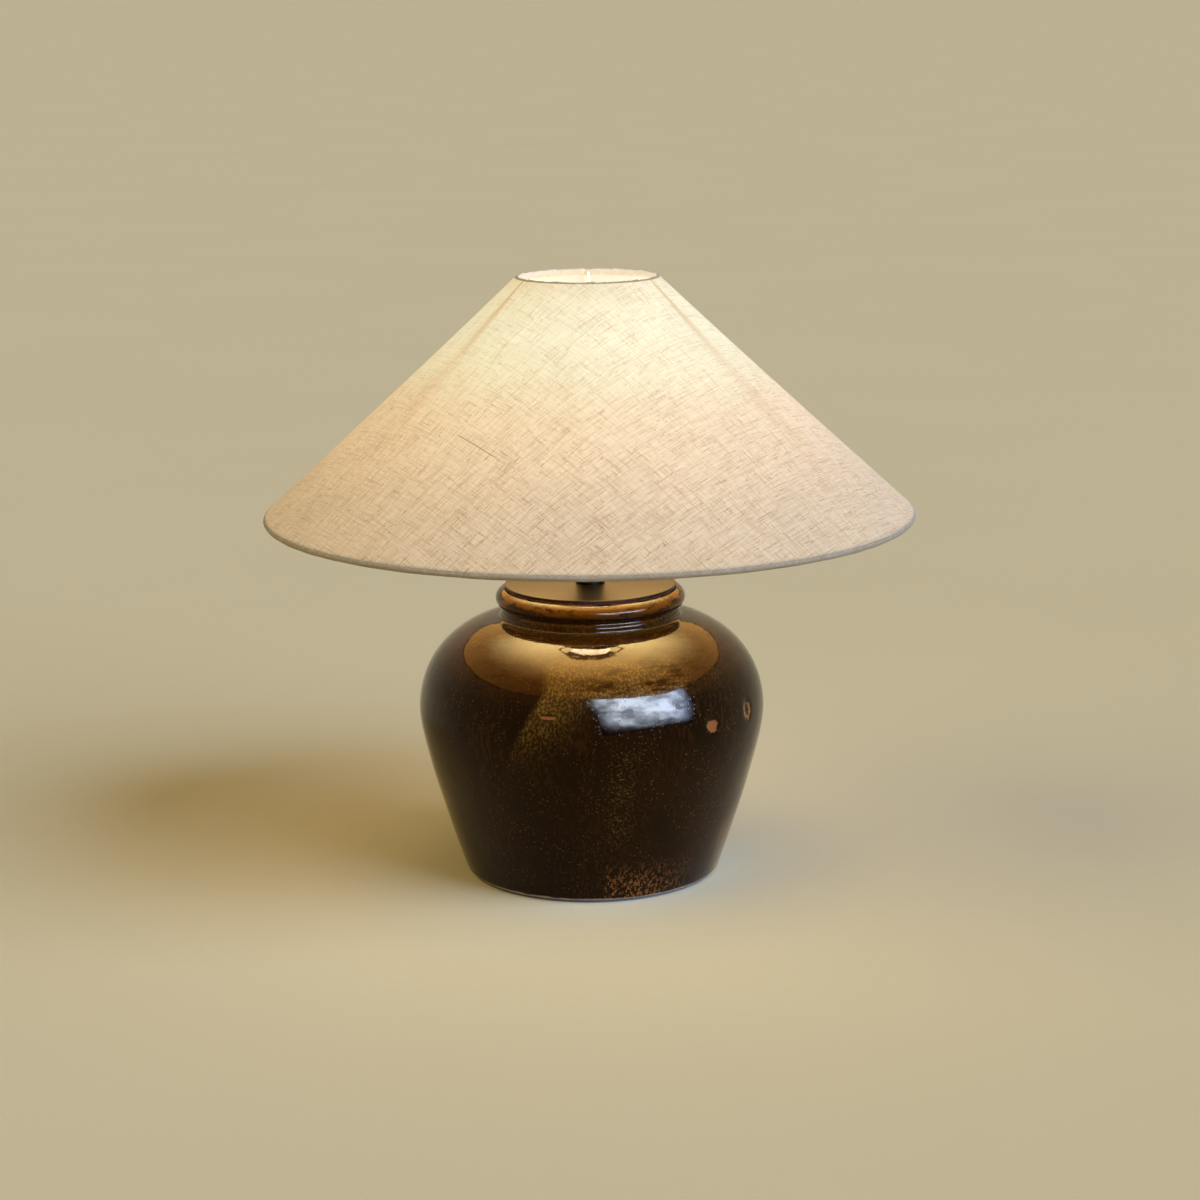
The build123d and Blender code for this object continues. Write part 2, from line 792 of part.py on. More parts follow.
# Linen and lining: cones laid over the rings, between the two rolled edges
slant_run = shade_bottom_radius - shade_top_radius
slant_length = hypot(slant_run, shade_slope_height)
out_r = shade_slope_height / slant_length
out_z = slant_run / slant_length
edge_radius = ring_wire + lining_thickness + linen_thickness
hem_gap = sqrt(edge_radius**2 - ring_wire**2) + seat_gap / 2
hem_r = hem_gap * out_z
hem_z = hem_gap * out_r
foot_line = (shade_bottom_radius - hem_r, z_shade + hem_z)
head_line = (shade_top_radius + hem_r, z_shade_top - hem_z)
with BuildPart() as shade_lining:
    near = ring_wire
    far = ring_wire + lining_thickness
    with BuildSketch(Plane.XZ):
        with BuildLine():
            Polyline(
                (foot_line[0] + near * out_r, foot_line[1] + near * out_z),
                (foot_line[0] + far * out_r, foot_line[1] + far * out_z),
                (head_line[0] + far * out_r, head_line[1] + far * out_z),
                (head_line[0] + near * out_r, head_line[1] + near * out_z),
                close=True,
            )
        make_face()
    revolve(axis=Axis.Z)
shade_lining.part.label = "shade_lining"
export_step(shade_lining.part, "parts/shade_lining.step")

with BuildPart() as shade_cover:
    near = ring_wire + lining_thickness
    far = edge_radius
    with BuildSketch(Plane.XZ):
        with BuildLine():
            Polyline(
                (foot_line[0] + near * out_r, foot_line[1] + near * out_z),
                (foot_line[0] + far * out_r, foot_line[1] + far * out_z),
                (head_line[0] + far * out_r, head_line[1] + far * out_z),
                (head_line[0] + near * out_r, head_line[1] + near * out_z),
                close=True,
            )
        make_face()
    revolve(axis=Axis.Z)
shade_cover.part.label = "shade_cover"
export_step(shade_cover.part, "parts/shade_cover.step")

# Rolled fabric edges around the rings, the upper one notched for the arms
with BuildPart() as bottom_binding:
    with Locations((0, 0, z_shade)):
        Torus(shade_bottom_radius, edge_radius)
        Torus(shade_bottom_radius, ring_wire, mode=Mode.SUBTRACT)
bottom_binding.part.label = "bottom_binding"
export_step(bottom_binding.part, "parts/bottom_binding.step")

with BuildPart() as top_binding:
    with BuildSketch(Plane.XZ):
        with Locations((shade_top_radius, z_shade_top)):
            Circle(edge_radius)
            Circle(ring_wire, mode=Mode.SUBTRACT)
    revolve(axis=Axis.Z)
    with Locations((0, 0, z_shade_top)):
        with PolarLocations(arm_radius, len(arm_headings), start_angle=arm_headings[0]):
            Cylinder(arm_wire + seat_gap, 8 * edge_radius, mode=Mode.SUBTRACT)
top_binding.part.label = "top_binding"
export_step(top_binding.part, "parts/top_binding.step")
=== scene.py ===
"""Jar table lamp: a glazed stoneware jar under a bronze cover plate, with a stem, a lampholder
and a wide linen cone shade that is lit from inside.

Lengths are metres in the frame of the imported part: +Z is up, the front looks along -Y and the
origin is the middle of the underside. An azimuth is 0 at the front and grows to the right.
"""

import bpy
import numpy as np
from mathutils import Matrix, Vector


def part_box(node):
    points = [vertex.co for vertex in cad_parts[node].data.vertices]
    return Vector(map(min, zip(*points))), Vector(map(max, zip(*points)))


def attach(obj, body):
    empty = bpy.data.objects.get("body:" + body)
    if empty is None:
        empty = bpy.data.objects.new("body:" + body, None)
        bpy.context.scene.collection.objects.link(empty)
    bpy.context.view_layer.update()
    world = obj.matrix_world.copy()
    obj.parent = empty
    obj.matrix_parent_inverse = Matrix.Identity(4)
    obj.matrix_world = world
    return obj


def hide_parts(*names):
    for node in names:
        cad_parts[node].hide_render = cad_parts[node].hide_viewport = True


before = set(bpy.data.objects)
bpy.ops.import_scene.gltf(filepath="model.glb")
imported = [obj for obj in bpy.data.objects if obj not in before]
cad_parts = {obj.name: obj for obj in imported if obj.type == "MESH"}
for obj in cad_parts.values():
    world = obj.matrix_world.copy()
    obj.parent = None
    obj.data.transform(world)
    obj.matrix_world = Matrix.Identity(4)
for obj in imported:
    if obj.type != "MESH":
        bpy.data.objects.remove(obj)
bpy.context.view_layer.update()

# Felt ring: dark wool felt punched from sheet and glued under the jar's foot.
# It keeps the fired clay off the table, and only its edge shows.


def wire(tree, value, socket):
    """Links a socket, or writes a plain value into the input."""
    if isinstance(value, bpy.types.NodeSocket):
        tree.links.new(value, socket)
    else:
        socket.default_value = value


def add(tree, kind, feeds=None, **settings):
    """Adds a shader node with its settings, and feeds its inputs by name or number."""
    node = tree.nodes.new("ShaderNode" + kind)
    for name, value in settings.items():
        setattr(node, name, value)
    for name, value in (feeds or {}).items():
        wire(tree, value, node.inputs[name])
    return node


def mix(tree, amount, low, high):
    """Colour that goes from low to high with amount; each is a socket, or red, green and blue."""
    ends = [end if isinstance(end, bpy.types.NodeSocket) else (*end, 1) for end in (low, high)]
    return add(tree, "Mix", {0: amount, 6: ends[0], 7: ends[1]}, data_type="RGBA").outputs[2]


def mottle(tree, place, scale, detail=3.0, rough=0.5):
    """Soft noise about 0.5, with scale cells to the metre; scale may differ by axis."""
    if not isinstance(scale, (int, float)):
        place = add(tree, "VectorMath", {0: place, 1: scale}, operation="MULTIPLY").outputs[0]
        scale = 1.0
    feeds = {"Vector": place, "Scale": scale, "Detail": detail, "Roughness": rough}
    return add(tree, "TexNoise", feeds).outputs["Fac"]


def relief(tree, shader, height, depth, strength=1.0):
    """Bump of a 0 to 1 height that stands depth proud."""
    bump = add(tree, "Bump", {"Height": height, "Distance": depth, "Strength": strength})
    wire(tree, bump.outputs[0], shader.inputs["Normal"])


def tint(tree, shader, mask, low, high):
    """Base colour that goes from low to high with the mask."""
    wire(tree, mix(tree, mask, low, high), shader.inputs["Base Color"])


def finish(name, **plain):
    """New material: gives it with its node tree, its shader and the piece's own coordinates.
    Plain values that hold all over the piece go straight on the shader."""
    material = bpy.data.materials.new(name)
    material.use_nodes = True
    tree = material.node_tree
    shader = tree.nodes["Principled BSDF"]
    for socket, value in plain.items():
        shader.inputs[socket.replace("_", " ")].default_value = value
    return material, tree, shader, add(tree, "TexCoord").outputs["Object"]


def dress(material, *nodes):
    """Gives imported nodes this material."""
    for name in nodes:
        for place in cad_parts[name].material_slots:
            place.material = material


felt, tree, shader, here = finish("brown_felt", Sheen_Weight=0.3, Roughness=0.95)
fibre = mottle(tree, here, 900, 5.0, 0.7)
tint(tree, shader, fibre, (0.028, 0.021, 0.016), (0.085, 0.066, 0.052))
relief(tree, shader, fibre, 0.0006)
dress(felt, "base_pad")

# Jar: stoneware thrown on a wheel, dipped in a black-brown iron glaze that breaks to olive and
# gold where it ran thick or thin. The foot is left bare, and kiln scars show the orange clay.
foot_radius, foot_bevel, foot_ring, foot_recess = 0.0895, 0.0012, 0.016, 0.0025
belly_radius, belly_height, flank_fullness = 0.121, 0.1172, 0.79
shoulder_height, wall, floor_thickness, inner_foot_inset = 0.0635, 0.007, 0.009, 0.0042
mouth_radius, throat_round, lip_section = 0.053, 0.004, 0.0066
neck_wall, neck_height, neck_flare, neck_ridge = 0.008, 0.0072, 0.0035, 0.0018
ridge_start, ridge_end = 0.0009, 0.0047
glaze_round = 0.0011

z_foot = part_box("jar")[0].z
z_belly = z_foot + belly_height
neck_radius, lip_ring = mouth_radius + neck_wall, mouth_radius + lip_section
neck_foot, shoulder_mid = neck_radius + neck_flare, mouth_radius + throat_round
shoulder_reach = belly_radius - shoulder_mid
shoulder_end = np.arccos((neck_foot - shoulder_mid) / shoulder_reach)
z_neck = z_belly + shoulder_height * np.sin(shoulder_end)
z_groove = z_neck + neck_height
z_lip = z_groove + np.sqrt(lip_section**2 - (neck_radius - lip_ring)**2)
z_throat = z_belly + shoulder_height - wall


def straight(*corners, count=12):
    """Points on the straight runs between the corners."""
    ends = np.array(corners)
    share = np.linspace(0, 1, count)[:, None]
    return np.concatenate([a + share * (b - a) for a, b in zip(ends[:-1], ends[1:])])


def bowed(start, pull, end, count=120):
    """Quadratic curve from start to end, drawn towards pull."""
    t = np.linspace(0, 1, count)[:, None]
    start, pull, end = map(np.array, (start, pull, end))
    return (1 - t)**2 * start + 2 * t * (1 - t) * pull + t**2 * end


def rounded(centre, reach, rise, first, last, count=120):
    """Arc of an ellipse about centre, between two angles."""
    a = np.linspace(first, last, count)
    return np.stack([centre[0] + reach * np.cos(a), centre[1] + rise * np.sin(a)], -1)


def soften(line, round_off, step=0.0002):
    """The line laid out again in even steps, each corner rounded by two running means."""
    along = np.r_[0, np.cumsum(np.hypot(*np.diff(line, axis=0).T))]
    line, along = line[np.r_[True, np.diff(along) > 0]], np.unique(along)
    even = np.arange(0, along[-1], step)
    width = 2 * int(round_off / step) + 1
    flat = [np.interp(even, along, c) for c in line.T]
    for _ in range(2):
        ends = [np.r_[np.full(width // 2, c[0]), c, np.full(width // 2, c[-1])] for c in flat]
        flat = [np.convolve(c, np.ones(width) / width, "valid") for c in ends]
    return np.stack(flat, -1)


def spread(density, count):
    """Places along an evenly sampled line, closer together where density is high."""
    total = np.r_[0, np.cumsum((density[1:] + density[:-1]) / 2)]
    return np.interp(np.linspace(0, total[-1], count), total, np.arange(len(density)))


def skin(name, grid, flat=None, ring=False, crease=40):
    """Mesh of a grid of points, rows by columns. The last column joins the first, and with
    ring the last row joins the first row. Points that fall together, as at a pole, are one.
    flat holds the cloth's own flat place of each point, with one column more for the seam."""
    rows, columns = grid.shape[:2]
    points, index = np.unique(np.round(grid.reshape(-1, 3), 8), axis=0, return_inverse=True)
    index = index.reshape(rows, columns)
    index = np.concatenate([index, index[:, :1]], 1)
    if ring:
        index = np.concatenate([index, index[:1]], 0)
        flat = flat if flat is None else np.concatenate([flat, flat[:1]], 0)

    def corners(a):
        cells = [a[:-1, :-1], a[:-1, 1:], a[1:, 1:], a[1:, :-1]]
        return np.stack(cells, 2).reshape(-1, 4, *a.shape[2:])

    quads = corners(index)
    keep = np.stack([np.ones(len(quads), bool), quads[:, 0] != quads[:, 1],
                     quads[:, 2] != quads[:, 1], quads[:, 3] != quads[:, 2]], 1)
    sizes = keep.sum(1)
    whole = sizes > 2
    loops, starts = quads[whole][keep[whole]], np.cumsum(sizes[whole]) - sizes[whole]
    mesh = bpy.data.meshes.new(name)
    mesh.vertices.add(len(points))
    mesh.vertices.foreach_set("co", points.ravel())
    mesh.loops.add(len(loops))
    mesh.loops.foreach_set("vertex_index", loops.astype(np.int32))
    mesh.polygons.add(len(starts))
    mesh.polygons.foreach_set("loop_start", starts.astype(np.int32))
    if flat is not None:
        layer = mesh.uv_layers.new(name="flat")
        layer.data.foreach_set("uv", corners(flat)[whole][keep[whole]].astype(np.float32).ravel())
    mesh.update(calc_edges=True)
    mesh.validate()
    mesh.shade_smooth()
    mesh.set_sharp_from_angle(angle=np.radians(crease))
    piece = bpy.data.objects.new(name, mesh)
    bpy.context.scene.collection.objects.link(piece)
    return piece


def circle(count, start=0.0):
    """Even angles round a full turn."""
    return np.linspace(start, start + 2 * np.pi, count + 1)[:-1]


def around(radius, azimuth, height):
    """Points at those radii, azimuths and heights."""
    points = np.broadcast_arrays(radius * np.sin(azimuth), -radius * np.cos(azimuth), height)
    return np.stack(points, -1)


def turned(line, azimuth, radius_change=0.0):
    """Surface of a half section (radius, height) carried round +Z through the azimuths."""
    return around(line[:, :1] + radius_change, azimuth, line[:, 1:])


def put(piece, body, slot, material, *nodes):
    """The piece takes the material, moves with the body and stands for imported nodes."""
    piece.data.materials.clear()
    piece.data.materials.append(material)
    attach(piece, body)
    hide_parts(*nodes)
    return piece


inner_foot = foot_radius - inner_foot_inset
z_recess, z_floor = z_foot + foot_recess, z_foot + floor_thickness
z_control = z_foot + flank_fullness * belly_height
half_section = soften(np.concatenate([
    straight((0, z_recess), (foot_radius - foot_ring, z_recess), (foot_radius - foot_ring, z_foot),
             (foot_radius - foot_bevel, z_foot), (foot_radius, z_foot + foot_bevel)),
    bowed((foot_radius, z_foot + foot_bevel), (belly_radius, z_control), (belly_radius, z_belly)),
    rounded((shoulder_mid, z_belly), shoulder_reach, shoulder_height, 0, shoulder_end),
    straight((neck_foot, z_neck), (neck_radius + neck_ridge, z_neck + ridge_start),
             (neck_radius + neck_ridge, z_neck + ridge_end), (neck_radius, z_groove)),
    rounded((lip_ring, z_lip), lip_section, lip_section,
            np.arctan2(z_groove - z_lip, neck_radius - lip_ring), np.pi),
    straight((mouth_radius, z_lip), (mouth_radius, z_throat + throat_round)),
    bowed((mouth_radius, z_throat + throat_round), (mouth_radius, z_throat),
          (shoulder_mid, z_throat)),
    rounded((shoulder_mid, z_belly), shoulder_reach - wall, shoulder_height - wall, np.pi / 2, 0),
    bowed((belly_radius - wall, z_belly), (belly_radius - wall, z_control), (inner_foot, z_floor)),
    straight((inner_foot, z_floor), (0, z_floor)),
]), glaze_round)

# Rows of points lie closest on the neck and lip, and closer than elsewhere across the kiln scars.
row_count, inside_rows, under_rows, scar_rows, neck_rows = 190, 0.12, 0.15, 1.3, 2.6
scars_low, scars_high, neck_margin = 0.117, 0.147, 0.001
inside = np.arange(len(half_section)) > np.argmax(half_section[:, 1])
under = (half_section[:, 0] < foot_radius - foot_ring) & (half_section[:, 1] < z_floor)
density = np.where(inside, inside_rows, np.where(under, under_rows, 1.0))
density[(half_section[:, 1] > scars_low) & (half_section[:, 1] < scars_high) & ~inside] = scar_rows
density[(half_section[:, 1] > z_neck - neck_margin) & ~inside] = neck_rows
places = spread(density, row_count)
half_section = np.stack([np.interp(places, np.arange(len(inside)), c) for c in half_section.T], -1)
half_section[[0, -1], 0] = 0
inside = places > np.argmax(np.arange(len(inside)) * inside > 0)

# Columns lie closer round the front right, where most of the scars are.
column_count, plain_columns, close_side, close_width = 420, 0.6, np.radians(22), np.radians(45)
turn = np.linspace(-np.pi, np.pi, 1441)
density = plain_columns + np.exp(-((turn - close_side) / close_width)**4)
azimuth = np.interp(spread(density, column_count + 1), np.arange(len(turn)), turn)[:-1]

# Each kiln scar: azimuth in degrees, height, half width, half height and depth of its hollow.
kiln_scars = {
    "dash": (-14.0, 0.1380, 0.0052, 0.0013, 0.0009),
    "shield": (42.5, 0.1250, 0.0050, 0.0048, 0.0011),
    "loop": (62.5, 0.1270, 0.0050, 0.0066, 0.0010),
}
oval_depth, three_lobe_depth, wander_depth = 0.00030, 0.00018, 0.00010
finger_pitch, finger_depth = 0.0093, 0.000022
calm_below, calm_foot_run, calm_neck_gap, calm_neck_run = 0.03, 0.03, 0.004, 0.02


def thrown(line, azimuth):
    """Change of radius: a slow oval and finger marks that climb as a spiral, which die out towards
    the foot and the neck, and a bowl-shaped hollow at each kiln scar. The inside stays plain."""
    height, radius = line[:, 1:], line[:, :1]
    oval = oval_depth * np.cos(2 * (azimuth - 0.6)) + three_lobe_depth * np.cos(3 * azimuth + 1.1)
    spiral = np.sin(2 * np.pi * height / finger_pitch + azimuth)
    spiral = spiral * (0.6 + 0.4 * np.sin(5 * azimuth + 90 * height))
    wander = wander_depth * np.sin(130 * height + 3 * np.sin(2 * azimuth))
    above_foot = np.clip((height - calm_below) / calm_foot_run, 0, 1)
    below_neck = np.clip((z_neck - calm_neck_gap - height) / calm_neck_run, 0, 1)
    change = (oval + finger_depth * spiral + wander) * (above_foot * below_neck)
    for where, rise, wide, tall, deep in kiln_scars.values():
        across = (azimuth - np.radians(where)) * radius / wide
        up = (height - rise) / tall
        change = change - deep * np.exp(-(across**2 + up**2)**2)
    return change * ~inside[:, None]


jar = skin("jar_body", turned(half_section, azimuth, thrown(half_section, azimuth)))

# The lead's hole is cut at the back, where the rubber bush sits in it.
bush_low, bush_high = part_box("cord_grommet")
hole_radius, hole_height = 0.00585, (bush_low.z + bush_high.z) / 2
bit = circle(48)
bit_y = np.array([bush_low.y, bush_low.y, bush_high.y, bush_high.y])[:, None]
bit_r = np.array([0, hole_radius, hole_radius, 0])[:, None]
bit_points = np.broadcast_arrays(bit_r * np.cos(bit), bit_y, hole_height - bit_r * np.sin(bit))
drill = skin("drill", np.stack(bit_points, -1))
cut = jar.modifiers.new("lead_hole", "BOOLEAN")
cut.object, cut.operation, cut.solver = drill, "DIFFERENCE", "EXACT"
jar.data = bpy.data.meshes.new_from_object(
    jar.evaluated_get(bpy.context.evaluated_depsgraph_get()))
jar.modifiers.clear()
bpy.data.objects.remove(drill)


def calc(tree, operation, *values):
    """One step of arithmetic on sockets and numbers."""
    return add(tree, "Math", dict(enumerate(values)), operation=operation).outputs[0]


def scaled(tree, value, gain, plus):
    """The value times gain, plus a number or another value."""
    return calc(tree, "MULTIPLY_ADD", value, gain, plus)


def ease(tree, value, start, end):
    """0 at start and 1 at end, with a smooth rise between; start may be the larger."""
    feeds = {"Value": value, "From Min": start, "From Max": end}
    return add(tree, "MapRange", feeds, interpolation_type="SMOOTHSTEP").outputs[0]


def both(tree, *masks):
    """Product of masks and strengths."""
    result = masks[0]
    for mask in masks[1:]:
        result = calc(tree, "MULTIPLY", result, mask)
    return result


def between(tree, value, low, rise, high, fall):
    """1 from low + rise to high - fall, eased to 0 outside low and high."""
    return both(tree, ease(tree, value, low, low + rise), ease(tree, value, high, high - fall))


def flecks(tree, place, scale, low, high):
    """Specks where a noise passes from low to high."""
    return ease(tree, mottle(tree, place, scale, 2.0, 0.6), low, high)


def grains(tree, place, scale):
    """Cells at random places: the distance from the middle of each, and three chances of its own."""
    cells = add(tree, "TexVoronoi", {"Vector": place, "Scale": scale}).outputs
    return cells["Distance"], add(tree, "SeparateColor", {0: cells["Color"]}).outputs


def axes(tree, place):
    """X, Y and Z of a place."""
    return add(tree, "SeparateXYZ", {0: place}).outputs


def hypotenuse(tree, a, b):
    """Root of the sum of two squares."""
    return calc(tree, "SQRT", calc(tree, "ADD", calc(tree, "POWER", a, 2.0), calc(tree, "POWER", b, 2.0)))


def roughen(tree, shader, mask, gain, plus):
    """Roughness of the mask times gain, plus a number or another value."""
    wire(tree, scaled(tree, mask, gain, plus), shader.inputs["Roughness"])


# Colours of the glaze, from its deep base to the clay under it.
deep_brown, warm_brown = (0.0024, 0.0007, 0.0003), (0.0082, 0.0026, 0.0007)
rivulet_brown, thin_brown = (0.0200, 0.0066, 0.0014), (0.115, 0.043, 0.006)
patch_brown, dash_orange = (0.120, 0.062, 0.014), (0.200, 0.075, 0.022)
olive, dull_olive, pale_speck = (0.225, 0.120, 0.021), (0.055, 0.038, 0.010), (0.220, 0.105, 0.032)
lip_gold, neck_gold = (0.200, 0.072, 0.005), (0.100, 0.056, 0.013)
scar_clay, scar_crack = (0.230, 0.085, 0.030), (0.006, 0.004, 0.003)
foot_clay, pale_clay = (0.23, 0.17, 0.12), (0.42, 0.34, 0.25)

glaze, tree, shader, here = finish("iron_glaze", IOR=1.37, Specular_Tint=(0.62, 0.38, 0.20, 1))
spot = axes(tree, here)
heading = calc(tree, "DEGREES", calc(tree, "ARCTAN2", spot[0], calc(tree, "MULTIPLY", spot[1], -1.0)))
height = spot[2]

# The base is nearly black, warmer in clouds, with fine rivulets where the glaze ran down.
slow = mottle(tree, here, 11, 3.0, 0.6)
colour = mix(tree, ease(tree, slow, 0.35, 0.72), deep_brown, warm_brown)
rivulets = both(tree, flecks(tree, here, (400, 400, 130), 0.47, 0.64),
                ease(tree, mottle(tree, here, (34, 34, 17), 3.0, 0.6), 0.40, 0.62))
colour = mix(tree, rivulets, colour, rivulet_brown)

# Thin glaze over the shoulder breaks to a warm brown. It pools darker round the neck.
thin_start, thin_full, pool_above, pool_below, thin_strength = 0.140, 0.180, 0.001, 0.004, 0.60
streaks = mottle(tree, here, (55, 55, 240), 3.0, 0.65)
pooled = scaled(tree, ease(tree, height, z_neck + pool_above, z_neck - pool_below), 0.65, 0.35)
thin = both(tree, ease(tree, height, thin_start, thin_full), ease(tree, streaks, 0.15, 0.60), pooled)
colour = mix(tree, both(tree, thin, thin_strength), colour, thin_brown)

# Olive speckle: a slanted curtain left of the middle, a band on the shoulder, clouds round the back
# and a dotted column. Headings are in degrees. A span of two numbers is a start and an end, and one
# of four is a low, a rise, a high and a fall. The curtain's edges lean with the height.
curtain_lean, curtain_foot, curtain_left, curtain_right = 255.0, -56.1, (-0.6, 2.5), (24.0, 2.0)
curtain_rise, curtain_top, thick_heights = (0.090, 0.154), (0.176, 0.166), (0.110, 0.160)
band_heights, band_headings = (0.146, 0.008, 0.174, 0.008), (-19.0, 4.0, 44.0, 16.0)
column_heights, column_headings = (0.035, 0.02, 0.125, 0.02), (4.5, 3.0, 17.0, 5.0)
cloud_heights, cloud_headings = (0.04, 0.03, 0.170, 0.02), (75.0, 110.0)
runs = flecks(tree, here, (680, 680, 400), 0.46, 0.62)
past_edge = calc(tree, "SUBTRACT", heading, scaled(tree, height, curtain_lean, curtain_foot))
curtain = both(tree, ease(tree, past_edge, *curtain_left), ease(tree, past_edge, *curtain_right),
               ease(tree, height, *curtain_rise), ease(tree, height, *curtain_top))
shoulder_band = both(tree, between(tree, height, *band_heights), between(tree, heading, *band_headings),
                     ease(tree, streaks, 0.36, 0.58))
back_clouds = both(tree, ease(tree, mottle(tree, here, (14, 14, 9), 2.0), 0.56, 0.70),
                   between(tree, height, *cloud_heights),
                   ease(tree, calc(tree, "ABSOLUTE", heading), *cloud_headings))
haze = calc(tree, "MAXIMUM", curtain, calc(tree, "MAXIMUM", shoulder_band, back_clouds))
filled = scaled(tree, ease(tree, height, *thick_heights), 0.20, 0.06)
colour = mix(tree, both(tree, haze, scaled(tree, runs, 0.60, filled)), colour, olive)
column = both(tree, between(tree, heading, *column_headings), between(tree, height, *column_heights))
colour = mix(tree, both(tree, column, flecks(tree, here, 560, 0.54, 0.66)), colour, dull_olive)

# Orange-brown: dashes by the foot with a hard left edge, a smooth patch at the right, the lip and,
# fainter, the neck.
patch_heights, patch_headings = (-0.010, 0.022, 0.068, 0.040), (46.0, 26.0, 104.0, 36.0)
dash_left, dash_right, dash_heights = (4.6, 5.6), (52.0, 16.0), (0.036, 0.006)
lip_below, lip_above, neck_span = 0.0035, 0.0025, (z_neck - 0.002, 0.002, z_groove + 0.003, 0.002)
patch_strength, lip_strength, neck_strength = 0.8, 0.9, 0.4
dashes = both(tree, ease(tree, heading, *dash_left), ease(tree, heading, *dash_right),
              ease(tree, height, *dash_heights), flecks(tree, here, (560, 560, 250), 0.50, 0.60))
colour = mix(tree, dashes, colour, dash_orange)
patch = both(tree, between(tree, heading, *patch_headings), between(tree, height, *patch_heights))
patch = ease(tree, scaled(tree, mottle(tree, here, (90, 90, 50), 5.0, 0.7), 1.2, patch), 0.90, 1.60)
colour = mix(tree, both(tree, patch, patch_strength), colour, patch_brown)
gilt = both(tree, ease(tree, height, z_lip - lip_below, z_lip + lip_above),
            ease(tree, mottle(tree, here, (70, 70, 160), 4.0, 0.65), 0.41, 0.53))
colour = mix(tree, both(tree, gilt, lip_strength), colour, lip_gold)
gilt = both(tree, between(tree, height, *neck_span), runs)
colour = mix(tree, both(tree, gilt, neck_strength), colour, neck_gold)

# Pinholes all over, which show as pale specks: round dots of several sizes, in half of the cells.
least_dot, dot_growth, dot_strength = 0.12, 0.20, 0.27
distance, chance = grains(tree, here, 520.0)
past_rim = calc(tree, "SUBTRACT", distance, scaled(tree, chance[1], dot_growth, least_dot))
dots = both(tree, ease(tree, past_rim, 0.06, -0.04), ease(tree, chance[0], 0.42, 0.55))
pinholes = both(tree, dots, flecks(tree, here, 45, 0.38, 0.54))
colour = mix(tree, both(tree, pinholes, dot_strength), colour, pale_speck)

# Kiln scars: orange clay in the hollow, which is a ring in the loop, under a dark crack.
scar_edge, loop_hole, crack_edge, crack_span = (1.15, 0.85), (0.45, 0.75), (1.5, 1.1), (0.45, 0.3, 1.6, 0.4)


def scar_distance(tree, scar):
    """Distance from a kiln scar's middle, 1 at its uneven rim, and how far up from that middle."""
    where, rise, wide, tall = kiln_scars[scar][:4]
    off_middle = calc(tree, "SUBTRACT", heading, where)
    across = calc(tree, "MULTIPLY", off_middle, np.radians(belly_radius / wide))
    up = calc(tree, "DIVIDE", calc(tree, "SUBTRACT", height, rise), tall)
    uneven = scaled(tree, mottle(tree, here, 500), 0.9, -0.45)
    return calc(tree, "ADD", hypotenuse(tree, across, up), uneven), up


for scar in kiln_scars:
    away, up = scar_distance(tree, scar)
    clay = ease(tree, away, *scar_edge)
    if scar == "loop":
        clay = both(tree, clay, ease(tree, away, *loop_hole))
    colour = mix(tree, clay, colour, scar_clay)
    crack = both(tree, ease(tree, away, *crack_edge), between(tree, up, *crack_span))
    colour = mix(tree, crack, colour, scar_crack)

# Bare clay where the glaze was wiped off the foot, up to an uneven line.
wiped_least, wiped_more, wiped_edge = 0.0006, 0.0022, (0.0006, -0.0002)
wiped = scaled(tree, mottle(tree, here, 90), wiped_more, z_foot + wiped_least)
clay = ease(tree, calc(tree, "SUBTRACT", height, wiped), *wiped_edge)
tint(tree, shader, clay, colour, mix(tree, mottle(tree, here, 300), foot_clay, pale_clay))

# The glaze is glassy, duller where it is olive, and its skin is faintly wavy like an orange's.
gloss = scaled(tree, both(tree, haze, runs), 0.22, 0.055)
roughen(tree, shader, clay, 0.75, scaled(tree, pinholes, 0.15, gloss))
peel = scaled(tree, mottle(tree, here, 650, 2.0), 0.035, both(tree, pinholes, -0.10))
relief(tree, shader, scaled(tree, mottle(tree, here, 60, 2.0), 0.8, peel), 0.0009, 0.35)
put(jar, "base", "glaze", glaze, "jar")

# Lead bush: a black rubber grommet pushed through the hole in the lower back wall.
# The lead itself is not part of this model. The same rubber makes the clamp's end pads.
rubber, tree, shader, here = finish("black_rubber", Specular_IOR_Level=0.35)
bloom = mottle(tree, here, 240, 4.0, 0.6)
tint(tree, shader, bloom, (0.010, 0.010, 0.010), (0.030, 0.029, 0.028))
roughen(tree, shader, bloom, 0.25, 0.5)
relief(tree, shader, mottle(tree, here, 1500, 2.0), 0.00012)
dress(rubber, "cord_grommet", "clamp_pads")

# Rim gasket: a soft ring punched from pressed cork. It beds the flat plate on the jar's round lip,
# and the pull of the clamp keeps it there.
cork, tree, shader, here = finish("cork_ring", Specular_IOR_Level=0.1)
crumb = grains(tree, here, 700.0)[1][0]
tint(tree, shader, crumb, (0.060, 0.034, 0.018), (0.190, 0.115, 0.062))
roughen(tree, shader, crumb, 0.15, 0.8)
relief(tree, shader, crumb, 0.0002)
dress(cork, "rim_gasket")

# Cover plate: a disc of sheet brass, turned flat, with a brown-bronze lacquer over fine lathe
# lines. It lies on the gasket, and the stem's collar hides its hole.


def lathe_lines(tree, here, fine):
    """Height of fine rings about +Z: a noise of the distance from the axis and of the height, so
    each line runs right round."""
    x, y, z = axes(tree, here)
    ring = add(tree, "CombineXYZ", {0: calc(tree, "MULTIPLY", hypotenuse(tree, x, y), fine),
                                    1: calc(tree, "MULTIPLY", z, fine)}).outputs[0]
    return mottle(tree, ring, 1.0, 4.0, 0.7)


